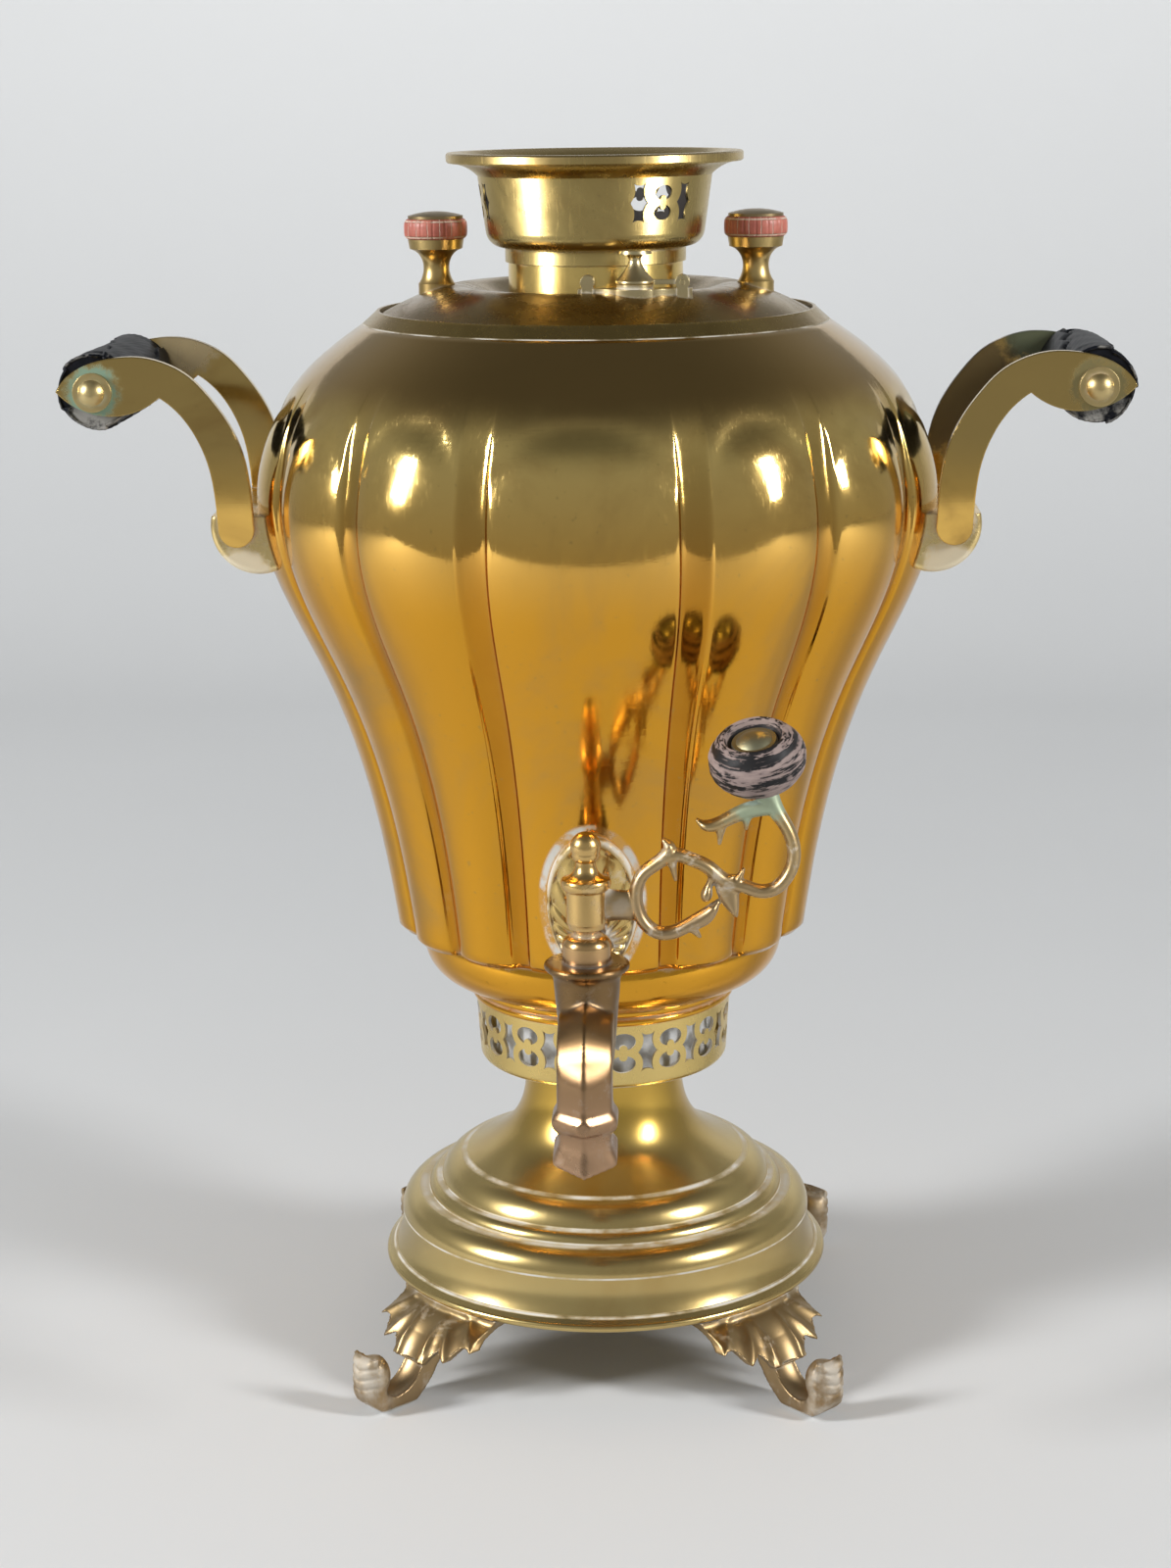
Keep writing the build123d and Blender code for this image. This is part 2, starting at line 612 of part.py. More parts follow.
def lid_seat_ring():
    ledge_z = LEDGE_Z
    return turned_polygon([
        (MOUTH_R - BODY_WALL, MOUTH_Z), (MOUTH_R, MOUTH_Z), (SEAT_TOP_R + 0.4, SEAT_Z - 0.5),
        (SEAT_TOP_R, SEAT_Z), (SEAT_INNER_R, SEAT_Z), (SEAT_INNER_R, ledge_z),
        (SEAT_LEDGE_R, ledge_z), (SEAT_LEDGE_R, ledge_z - SHEET),
        (SEAT_INNER_R + 1.0, ledge_z - SHEET), (MOUTH_R - BODY_WALL, MOUTH_Z - 0.6),
    ])


# ---- Fire tube, grate and crown ----

def tube_outline():
    """Outer radius and height of the fire tube, from its floor to the chimney's top."""
    pot_top = FIRE_FLOOR_Z + FIREPOT_HEIGHT
    return [(FIREPOT_R, FIRE_FLOOR_Z), (FIREPOT_R, pot_top),
            (CHIMNEY_R, pot_top + FIREPOT_TAPER), (CHIMNEY_R, CHIMNEY_Z)]


def fire_tube():
    outer = tube_outline()
    inner = [(r - TUBE_WALL, z) for r, z in outer]
    floor = FIRE_FLOOR_Z
    ledge = [(inner[0][0], floor + TUBE_WALL), (inner[0][0] - 4, floor + TUBE_WALL),
             (inner[0][0] - 4, floor)]
    return turned_polygon(outer + inner[:0:-1] + ledge)


def grate():
    z = FIRE_FLOOR_Z + TUBE_WALL
    r = FIREPOT_R - TUBE_WALL - LIFT_OUT
    disc = ring(r, 0, z, z + GRATE_THICK)
    slots = []
    for i in range(GRATE_SLOTS):
        x = (i - (GRATE_SLOTS - 1) / 2) * GRATE_PITCH
        length = 2 * (r * r - x * x) ** 0.5 - 12
        slots.append(Pos(x, 0, z) * extrude(SlotOverall(length, GRATE_SLOT_WIDTH, rotation=90),
                                            GRATE_THICK))
    return disc - slots


def crown():
    """The ring that a teapot stands on: a sleeve over the chimney, a pierced band, a wide lip."""
    seat_z = CHIMNEY_Z
    sleeve_r = CHIMNEY_R + LIFT_OUT / 4
    sleeve_out = sleeve_r + CROWN_SLEEVE_WALL
    bulge_z = seat_z + CROWN_BULGE_HEIGHT
    band_z = bulge_z + CROWN_BAND_HEIGHT
    lip_z = band_z + CROWN_FLARE_HEIGHT
    top_z = lip_z + CROWN_LIP_HEIGHT
    inner_r = CHIMNEY_R - TUBE_WALL
    wall = SHEET
    body = turned(
        Line(at(sleeve_r, seat_z - CROWN_SLEEVE_DEPTH), at(sleeve_out, seat_z - CROWN_SLEEVE_DEPTH)),
        Line(at(sleeve_out, seat_z - CROWN_SLEEVE_DEPTH), at(sleeve_out, seat_z)),
        ThreePointArc(at(sleeve_out, seat_z), at(CROWN_BULGE_R - 1.6, seat_z + 2.2),
                      at(CROWN_BULGE_R, bulge_z)),
        Line(at(CROWN_BULGE_R, bulge_z), at(CROWN_BAND_TOP_R, band_z)),
        ThreePointArc(at(CROWN_BAND_TOP_R, band_z), at(CROWN_BAND_TOP_R + 3.0, band_z + 2.4),
                      at(CROWN_LIP_R - 0.6, lip_z)),
        Line(at(CROWN_LIP_R - 0.6, lip_z), at(CROWN_LIP_R, lip_z + 0.6)),
        Line(at(CROWN_LIP_R, lip_z + 0.6), at(CROWN_LIP_R, top_z - 0.6)),
        Line(at(CROWN_LIP_R, top_z - 0.6), at(CROWN_LIP_R - 0.6, top_z)),
        Line(at(CROWN_LIP_R - 0.6, top_z), at(CROWN_LIP_R - 5.0, top_z)),
        ThreePointArc(at(CROWN_LIP_R - 5.0, top_z), at(CROWN_BAND_TOP_R + 1.4, band_z + 4.6),
                      at(CROWN_BAND_TOP_R - wall, band_z)),
        Line(at(CROWN_BAND_TOP_R - wall, band_z), at(CROWN_BULGE_R - wall, bulge_z)),
        Line(at(CROWN_BULGE_R - wall, bulge_z), at(inner_r, seat_z + 2.0)),
        Line(at(inner_r, seat_z + 2.0), at(inner_r, seat_z)),
        Line(at(inner_r, seat_z), at(sleeve_r, seat_z)),
        Line(at(sleeve_r, seat_z), at(sleeve_r, seat_z - CROWN_SLEEVE_DEPTH)),
    )
    middle = bulge_z + CROWN_BAND_HEIGHT * 0.56
    tools = []
    for angle in CROWN_GROUP_ANGLES:
        for eye in figure_eight(CROWN_MOTIF_HEIGHT):
            tools.append(piercing(eye, CROWN_BAND_TOP_R, angle, middle))
        for side in (-1, 1):
            turn = angle + side * CROWN_MOTIF_STEP
            tools.append(piercing(star_slot(CROWN_SLOT_HEIGHT), CROWN_BAND_TOP_R, turn, middle))
    return body - tools


# ---- Lid ----

def lid_outline():
    """The lid's upper side, from its edge over the crest to the hole round the chimney."""
    edge_r = SEAT_INNER_R - LIFT_OUT
    edge_z = SEAT_Z - 1.4
    hole_r = CHIMNEY_R + LID_HOLE_PLAY
    return [
        (edge_r, edge_z), (edge_r - 9.4, SEAT_Z + LID_CREST_RISE * 0.36),
        (edge_r - 19.4, SEAT_Z + LID_CREST_RISE * 0.80), (LID_CREST_R, CREST_Z),
        (LID_CREST_R - 8.5, CREST_Z - LID_DIP * 0.32), (hole_r, CREST_Z - LID_DIP),
    ]


def lid_shell():
    """The lid's dome with its upright skirt, open round the chimney and under the vent."""
    outline = lid_outline()
    under = [(r, z - SHEET) for r, z in outline]
    rim_r, rim_z = outline[0]
    foot_z = LEDGE_Z
    upper = Spline(*[at(r, z) for r, z in outline])
    lower = Spline(*[at(r, z) for r, z in under[1:]])
    dome_shell = turned(
        upper,
        Line(at(*outline[-1]), at(*under[-1])),
        lower,
        Line(at(*under[1]), at(rim_r - 2.2, rim_z - SHEET)),
        Line(at(rim_r - 2.2, rim_z - SHEET), at(rim_r - 2.2, foot_z)),
        Line(at(rim_r - 2.2, foot_z), at(rim_r, foot_z)),
        Line(at(rim_r, foot_z), at(rim_r, rim_z)),
    )
    return dome_shell - Pos(VENT_X, VENT_Y, CREST_Z) * Cylinder(VENT_BORE_R, 40)


def lid_filled():
    """All that is under the lid's upper side, for cutting what stands on it."""
    outline = lid_outline()
    upper = Spline(*[at(r, z) for r, z in outline])
    low_z = LEDGE_Z - 5
    return turned(
        upper,
        Line(at(*outline[-1]), at(outline[-1][0], low_z)),
        Line(at(outline[-1][0], low_z), at(outline[0][0], low_z)),
        Line(at(outline[0][0], low_z), at(*outline[0])),
    )


def knob_levels():
    ring_z = CREST_Z + KNOB_STEM_HEIGHT - 2.0
    return ring_z, ring_z + KNOB_RING_HEIGHT


def lid_knob_stem(x, lid):
    ring_z, cap_z = knob_levels()
    foot_z = CREST_Z - 6
    cup_z = ring_z - 3.6
    stem = turned(
        Line(at(0, foot_z), at(KNOB_STEM_FOOT_R, foot_z)),
        Line(at(KNOB_STEM_FOOT_R, foot_z), at(KNOB_STEM_FOOT_R, CREST_Z + 0.4)),
        Spline(at(KNOB_STEM_FOOT_R, CREST_Z + 0.4), at(KNOB_STEM_WAIST_R, CREST_Z + 6.5),
               at(KNOB_STEM_WAIST_R + 0.6, CREST_Z + 9.5), at(KNOB_CUP_R - 0.6, cup_z)),
        Line(at(KNOB_CUP_R - 0.6, cup_z), at(KNOB_CUP_R, ring_z)),
        Line(at(KNOB_CUP_R, ring_z), at(KNOB_PIN_R, ring_z)),
        Line(at(KNOB_PIN_R, ring_z), at(KNOB_PIN_R, cap_z)),
        Line(at(KNOB_PIN_R, cap_z), at(0, cap_z)),
        Line(at(0, cap_z), at(0, foot_z)),
    )
    return Pos(x, 0, 0) * stem - lid


def lid_knob_ring(x):
    ring_z, cap_z = knob_levels()
    round_r = KNOB_RING_R - 1.6
    shape = turned(
        Line(at(KNOB_PIN_R, ring_z), at(round_r, ring_z)),
        ThreePointArc(at(round_r, ring_z), at(KNOB_RING_R, (ring_z + cap_z) / 2), at(round_r, cap_z)),
        Line(at(round_r, cap_z), at(KNOB_PIN_R, cap_z)),
        Line(at(KNOB_PIN_R, cap_z), at(KNOB_PIN_R, ring_z)),
    )
    return Pos(x, 0, 0) * shape


def lid_knob_cap(x):
    cap_z = knob_levels()[1]
    top_z = cap_z + KNOB_CAP_HEIGHT
    shape = turned(
        Line(at(0, cap_z), at(KNOB_CAP_R, cap_z)),
        Line(at(KNOB_CAP_R, cap_z), at(KNOB_CAP_R, cap_z + 1.0)),
        dome(KNOB_CAP_R, cap_z + 1.0, top_z),
        Line(at(0, top_z), at(0, cap_z)),
    )
    return Pos(x, 0, 0) * shape


# ---- Steam vent ----

def vent_lug(y, low_z):
    """One ear of the hinge, or of its twin on the other side: a disc on a foot."""
    disc = Pos(0, y, VENT_PIN_Z) * Rot(90, 0, 0) * Cylinder(VENT_LUG_R, VENT_LUG_THICK)
    height = VENT_PIN_Z - low_z
    leg = Pos(0, y, low_z + height / 2) * Box(VENT_LUG_R * 1.5, VENT_LUG_THICK, height)
    return disc + leg


def vent_base(lid):
    top_z = CREST_Z + VENT_TUBE_RISE
    low_z = CREST_Z - 7
    tube = Pos(0, 0, (low_z + top_z) / 2) * Cylinder(VENT_TUBE_R, top_z - low_z)
    reach = VENT_REACH
    leaf = [
        ThreePointArc((-reach - 3.5, -2.4), (-reach + 5, -3.2), (-VENT_TUBE_R, -7.4)),
        ThreePointArc((-VENT_TUBE_R, -7.4), (0, -9.4), (VENT_TUBE_R, -7.4)),
        ThreePointArc((VENT_TUBE_R, -7.4), (reach - 5, -3.2), (reach + 3.5, -2.4)),
        Line((reach + 3.5, -2.4), (reach + 3.5, 2.4)),
        ThreePointArc((reach + 3.5, 2.4), (reach - 5, 3.2), (VENT_TUBE_R, 7.4)),
        ThreePointArc((VENT_TUBE_R, 7.4), (0, 9.4), (-VENT_TUBE_R, 7.4)),
        ThreePointArc((-VENT_TUBE_R, 7.4), (-reach + 5, 3.2), (-reach - 3.5, 2.4)),
        Line((-reach - 3.5, 2.4), (-reach - 3.5, -2.4)),
    ]
    face = outlined(*leaf)
    plate = Pos(0, 0, low_z) * extrude(face, CREST_Z + VENT_PLATE_THICK - low_z)
    ears = []
    y = (VENT_LUG_GAP + VENT_LUG_THICK) / 2
    for side in (-1, 1):
        ears.append(Pos(side * reach, 0, 0) * (vent_lug(-y, low_z) + vent_lug(y, low_z)))
    shape = Pos(VENT_X, VENT_Y, 0) * (tube + plate + ears)
    sheet = Pos(0, 0, -VENT_PLATE_THICK) * lid_filled()
    bore = Pos(VENT_X, VENT_Y, CREST_Z) * Cylinder(VENT_BORE_R, 40)
    pin_hole = Pos(VENT_X + reach, VENT_Y, VENT_PIN_Z) * Rot(90, 0, 0) * Cylinder(VENT_PIN_R, 20)
    top_slab = Pos(VENT_X, VENT_Y, 0) * (Pos(0, 0, CREST_Z + 40) * Box(60, 24, 80))
    domed = (shape & top_slab) + ((shape - top_slab) - sheet)
    return domed - lid - bore - pin_hole


def vent_pin():
    length = VENT_LUG_GAP + 2 * VENT_LUG_THICK
    pin = Pos(VENT_X + VENT_REACH, VENT_Y, VENT_PIN_Z) * Rot(90, 0, 0)
    return pin * Cylinder(VENT_PIN_R, length)


def vent_cap():
    """The cap on the vent, with its trumpet knob and the arm to the hinge."""
    low = CREST_Z + VENT_TUBE_RISE
    disc_z = low + VENT_CAP_THICK
    top = disc_z + VENT_KNOB_HEIGHT
    turned_part = turned(
        Line(at(0, low), at(VENT_TUBE_R, low)),
        ThreePointArc(at(VENT_TUBE_R, low), at(VENT_TUBE_R + 0.4, low + 1.3), at(VENT_TUBE_R, disc_z)),
        Spline(at(VENT_TUBE_R, disc_z), at(VENT_KNOB_WAIST_R + 1.6, disc_z + 3.2),
               at(VENT_KNOB_WAIST_R, disc_z + 7.4), at(VENT_KNOB_TOP_R, top - 1.3)),
        Line(at(VENT_KNOB_TOP_R, top - 1.3), at(VENT_KNOB_TOP_R - 0.4, top)),
        Line(at(VENT_KNOB_TOP_R - 0.4, top), at(0, top)),
        Line(at(0, top), at(0, low)),
    )
    width = VENT_LUG_GAP - 2 * SIDE_PLAY
    arm_length = VENT_REACH - VENT_TUBE_R + 1
    arm = Pos(VENT_TUBE_R - 1 + arm_length / 2, 0, VENT_PIN_Z) * Box(arm_length, width, VENT_CAP_THICK)
    eye = Pos(VENT_REACH, 0, VENT_PIN_Z) * Rot(90, 0, 0) * Cylinder(VENT_EYE_R, width)
    hole = Pos(VENT_REACH, 0, VENT_PIN_Z) * Rot(90, 0, 0) * Cylinder(VENT_PIN_R + RUNNING, width + 2)
    return Pos(VENT_X, VENT_Y, 0) * (turned_part + arm + eye - hole)


# ---- Handles ----

def handle_arm(side, end):
    """A flat arm: pointed eye round the rod, an arch, and a rounded end on the saddle."""
    tip, notch = (13.9, 0.2), (-24.6, -2.2)
    outline = [
        Spline(tip, (7.6, 7.3), (0, 10.9), (-9, 12.7), (-18, 12.8), (-27.4, 10.4), (-35.6, 5.8),
               (-42.2, -0.9), (-47.6, -8.0), (-52, -15.6), (-55.2, -24.6), (-57.2, -37),
               (-58, -50)),
        ThreePointArc((-58, -50), (-52.4, -58.2), (-44.8, -51)),
        Spline((-44.8, -51), (-43.8, -38), (-41.9, -27.4), (-38.4, -18.2), (-33.6, -10.4),
               notch),
        ThreePointArc(notch, (-4.4, -8.9), tip),
    ]
    face = outlined(*outline)
    arm = extrude(Plane.XZ * face, ARM_THICK)
    arm = arm - Rot(90, 0, 0) * Cylinder(ROD_R, 20)
    y = -ARM_GAP / 2 if end < 0 else ARM_GAP / 2 + ARM_THICK
    arm = Pos(ROD_X, y, ROD_Z) * arm
    return arm if side > 0 else arm.mirror(Plane.YZ)


def handle_saddle(side, body):
    x, z = ROD_X - SADDLE_IN, ROD_Z - SADDLE_DOWN
    bar = Pos(x, 0, z) * Rot(90, 0, 0) * Cylinder(SADDLE_R, ARM_GAP)
    bar = fillet(bar.edges(), 2.4)
    above = Pos(x, 0, z + SADDLE_TOP_CUT + SADDLE_R) * Box(3 * SADDLE_R, 2 * ARM_GAP, 2 * SADDLE_R)
    bar = bar - above
    for end in (-1, 1):
        corner = Pos(x + SADDLE_SLANT_START, end * ARM_GAP / 2, z) * Rot(0, 0, -end * SADDLE_END_SLANT)
        waste = Pos(-ARM_GAP / 2, end * ARM_GAP / 4, 0) * Box(ARM_GAP, ARM_GAP / 2, 4 * SADDLE_R)
        bar = bar - corner * waste
    bar = bar if side > 0 else bar.mirror(Plane.YZ)
    return bar - body


def handle_rod(side):
    length = ARM_GAP + 2 * ARM_THICK + 2 * WASHER_THICK + NUT_HEIGHT
    return Pos(side * ROD_X, 0, ROD_Z) * Rot(90, 0, 0) * Cylinder(ROD_R, length)


def handle_fasteners():
    """The washers and the domed nuts on the ends of both rods."""
    washers, nuts = [], []
    face = ARM_GAP / 2 + ARM_THICK
    for side in (-1, 1):
        for end in (-1, 1):
            place = Pos(side * ROD_X, end * face, ROD_Z) * Rot(90 if end < 0 else -90, 0, 0)
            washer = Cylinder(WASHER_R, WASHER_THICK) - Cylinder(ROD_R, 10)
            washers.append(place * Pos(0, 0, WASHER_THICK / 2) * washer)
            low = WASHER_THICK
            blind = low + NUT_HEIGHT / 2
            nut = turned(
                Line(at(ROD_R, low), at(NUT_R, low)),
                Line(at(NUT_R, low), at(NUT_R, low + NUT_HEIGHT - 1.8)),
                dome(NUT_R, low + NUT_HEIGHT - 1.8, low + NUT_HEIGHT + 0.9),
                Line(at(0, low + NUT_HEIGHT + 0.9), at(0, blind)),
                Line(at(0, blind), at(ROD_R, blind)),
                Line(at(ROD_R, blind), at(ROD_R, low)),
            )
            nuts.append(place * nut)
    return Compound(washers), Compound(nuts)


def handle_grip(side):
    length = ARM_GAP - 2 * SIDE_PLAY
    grip = fillet(Cylinder(GRIP_R, length).edges(), GRIP_ROUND)
    grip = grip - Cylinder(ROD_R + RUNNING, length + 2)
    return Pos(side * ROD_X, 0, ROD_Z) * Rot(90, 0, 0) * grip


# ---- Tap ----

def tap_line_y(radius, z, y_from, y_to):
    """A bar along Y on the samovar's middle plane."""
    length = abs(y_to - y_from)
    return Pos(0, (y_from + y_to) / 2, z) * Rot(90, 0, 0) * Cylinder(radius, length)


def tap_escutcheon(body):
    """A scallop shell on the front lobe, ribbed from the tap's tail outwards."""
    width, height = SHELL_PLATE_WIDTH, SHELL_PLATE_HEIGHT
    middle = TAIL_Z - TAIL_R - SHELL_PLATE_RIM + height / 2
    front = LOBE_FOOT_R + 14
    scroll_r = width * 0.1
    scrolls = Pos(width / 2 - 1.6, scroll_r * 2 - height / 2) * Circle(scroll_r)
    outline = Ellipse(width / 2, height / 2) + scrolls + scrolls.mirror(Plane.YZ)
    blank = Pos(0, 0, middle) * extrude(Plane.XZ * outline, front)
    skin = Pos(0, -SHELL_PLATE_THICK, 0) * body
    plate = (blank & skin) - body
    groove_y = -LOBE_FOOT_R - SHELL_PLATE_THICK - 4.6
    for i in range(SHELL_RIBS):
        angle = (i - (SHELL_RIBS - 1) / 2) * 180 / SHELL_RIBS
        groove = Pos(0, -2.2, height * 0.55) * Cylinder(2.0, height * 0.8)
        groove = groove.rotate(Axis.Y, angle).rotate(Axis.X, -6)
        plate = plate - Pos(0, groove_y, TAIL_Z) * groove
    plate = plate - tap_line_y(TAIL_R, TAIL_Z, 0, PLUG_Y)
    return plate.solids().sort_by(SortBy.VOLUME)[-1]


def hexagon(radius, plane):
    """A hexagon with one corner on the plane's x axis."""
    return plane * RegularPolygon(radius, 6)


def spout_path(start_y):
    """The spout's middle line: forward from the barrel, then round and down to the ring."""
    z = FLANGE_Z - SPOUT_BELOW_FLANGE
    bend_y = PLUG_Y - SPOUT_REACH + SPOUT_BEND_R
    fall_y = PLUG_Y - SPOUT_REACH
    low_z = z - SPOUT_BEND_R
    mid = SPOUT_BEND_R * (1 - cos(radians(45)))
    bend = ThreePointArc((0, bend_y, z), (0, fall_y + mid, z - mid), (0, fall_y, low_z))
    return Line((0, start_y, z), (0, bend_y, z)), bend, (fall_y, low_z)


def spout_sections(stations, y):
    """A ruled stack of hexagons, one for each (radius, height, tilt) station."""
    wires = []
    for radius, z, tilt in stations:
        lean, level = sin(radians(tilt)), cos(radians(tilt))
        plane = Plane(origin=(0, y, z), x_dir=(0, -level, -lean), z_dir=(0, -lean, level))
        wires.append(hexagon(radius, plane).face().outer_wire())
    return Solid.make_loft(wires, ruled=True)


def tap_body():
    """Tail, tapered barrel with its flange, and the six-sided spout with ring and nozzle."""
    top = FLANGE_Z
    foot = top - BARREL_HEIGHT
    barrel = turned(
        Line(at(0, foot), at(BARREL_FOOT_R - 1.2, foot)),
        Line(at(BARREL_FOOT_R - 1.2, foot), at(BARREL_FOOT_R, foot + 1.2)),
        Line(at(BARREL_FOOT_R, foot + 1.2), at(BARREL_TOP_R, top - 6.0)),
        ThreePointArc(at(BARREL_TOP_R, top - 6.0), at(BARREL_TOP_R + 0.7, top - 4.2),
                      at(FLANGE_R - 0.8, top - FLANGE_THICK)),
        ThreePointArc(at(FLANGE_R - 0.8, top - FLANGE_THICK), at(FLANGE_R, top - 1.2),
                      at(FLANGE_R - 0.6, top)),
        Line(at(FLANGE_R - 0.6, top), at(0, top)),
        Line(at(0, top), at(0, foot)),
    )
    barrel = Pos(0, PLUG_Y, 0) * barrel
    tail = tap_line_y(TAIL_R, TAIL_Z, -LOBE_FOOT_R + 12, PLUG_Y + 6)
    run, bend, (fall_y, low_z) = spout_path(PLUG_Y - 6)
    start = Plane(origin=run @ 0, x_dir=(0, 0, 1), z_dir=(0, -1, 0))
    pipe = sweep(hexagon(SPOUT_R, start), path=Wire([*run.edges(), *bend.edges()]))
    ring_r, ring_top = SPOUT_RING_R, low_z - SPOUT_DROP
    ring_low = ring_top - SPOUT_RING_HEIGHT
    end = ring_low - NOZZLE_HEIGHT
    fall = spout_sections([
        (SPOUT_R, low_z, 0), (SPOUT_R, ring_top, 0), (ring_r - 0.6, ring_top - 1.4, 0),
        (ring_r, ring_top - 3, 0), (ring_r, ring_low + 2.6, 0), (ring_r - 0.8, ring_low + 1, 0),
        (SPOUT_R - 0.4, ring_low, 0), (SPOUT_R - 0.6, ring_low - 3.4, NOZZLE_TILT * 0.3),
        (NOZZLE_R, end, NOZZLE_TILT),
    ], fall_y)
    solid = barrel + tail + pipe + fall
    taper = Pos(0, PLUG_Y, 0) * plug_taper(RUNNING, foot - 1, top + 1)
    inlet_run = Line((0, -LOBE_FOOT_R + 10, TAIL_Z), (0, PLUG_Y, top - PORT_BELOW_FLANGE + 2))
    inlet = sweep(Plane(origin=inlet_run @ 0, z_dir=inlet_run % 0) * Circle(TAIL_BORE_R),
                  path=inlet_run)
    bore_run, bore_bend, _ = spout_path(PLUG_Y)
    bore_start = Plane(origin=bore_run @ 0, z_dir=(0, -1, 0))
    bore = sweep(bore_start * Circle(SPOUT_BORE_R), path=Wire([*bore_run.edges(), *bore_bend.edges()]))
    drop = low_z - end + 20
    outlet = Pos(0, fall_y, low_z - drop / 2) * Cylinder(SPOUT_BORE_R, drop)
    return solid - taper - inlet - bore - outlet


def plug_taper(clearance, low, high):
    """The plug's cone between two heights, grown by the clearance."""
    top, foot = FLANGE_Z, FLANGE_Z - BARREL_HEIGHT
    slope = (PLUG_TOP_R - PLUG_FOOT_R) / (top - foot)
    low_r = PLUG_FOOT_R + slope * (low - foot) + clearance
    high_r = PLUG_FOOT_R + slope * (high - foot) + clearance
    return turned_polygon([(0, low), (low_r, low), (high_r, high), (0, high)])


def tap_plug():
    """The tapered plug, its cross hole, and the turned head that carries the key."""
    top, foot = FLANGE_Z, FLANGE_Z - BARREL_HEIGHT
    seat = top + 0.3
    cone = plug_taper(0, foot - 0.4, seat)
    head = turned(
        Line(at(0, seat), at(8.7, seat)),
        Line(at(8.7, seat), at(8.7, seat + 6.2)),
        ThreePointArc(at(8.7, seat + 6.2), at(7.4, seat + 8.6), at(4.6, seat + 9.6)),
        ThreePointArc(at(4.6, seat + 9.6), at(4.5, seat + 10.8), at(6.3, seat + 12.2)),
        ThreePointArc(at(6.3, seat + 12.2), at(6.6, seat + 13.4), at(7.1, seat + 14.6)),
        Line(at(7.1, seat + 14.6), at(7.1, seat + 25.8)),
        ThreePointArc(at(7.1, seat + 25.8), at(8.6, seat + 27.4), at(8.5, seat + 30.2)),
        ThreePointArc(at(8.5, seat + 30.2), at(4.8, seat + 32.4), at(3.5, seat + 36.4)),
        ThreePointArc(at(3.5, seat + 36.4), at(4.9, seat + 38.2), at(5.0, seat + 39.8)),
        dome(5.0, seat + 39.8, seat + 47.2),
        Line(at(0, seat + 47.2), at(0, seat)),
    )
    port_z = top - PORT_BELOW_FLANGE
    port = Pos(0, 0, port_z) * Rot(0, 90, 0) * Cylinder(PORT_R, 30)
    thread = Pos(0, 0, foot + 4) * Cylinder(2.0, 12)
    return Pos(0, PLUG_Y, 0) * (cone + head - port - thread)


def plug_washer():
    z = FLANGE_Z - BARREL_HEIGHT - 0.4 - PLUG_WASHER_THICK / 2
    washer = Cylinder(PLUG_WASHER_R, PLUG_WASHER_THICK) - Cylinder(2.0, 10)
    return Pos(0, PLUG_Y, z) * washer


def plug_screw():
    under = FLANGE_Z - BARREL_HEIGHT - 0.4 - PLUG_WASHER_THICK
    head = Pos(0, PLUG_Y, under - PLUG_SCREW_HEIGHT / 2) * Cylinder(PLUG_SCREW_R, PLUG_SCREW_HEIGHT)
    shank_top = FLANGE_Z - BARREL_HEIGHT + 9
    shank = Pos(0, PLUG_Y, (under + shank_top) / 2) * Cylinder(2.0, shank_top - under)
    slot = Pos(0, PLUG_Y, under - PLUG_SCREW_HEIGHT) * Box(2 * PLUG_SCREW_R, 1.0, 2.0)
    return head + shank - slot


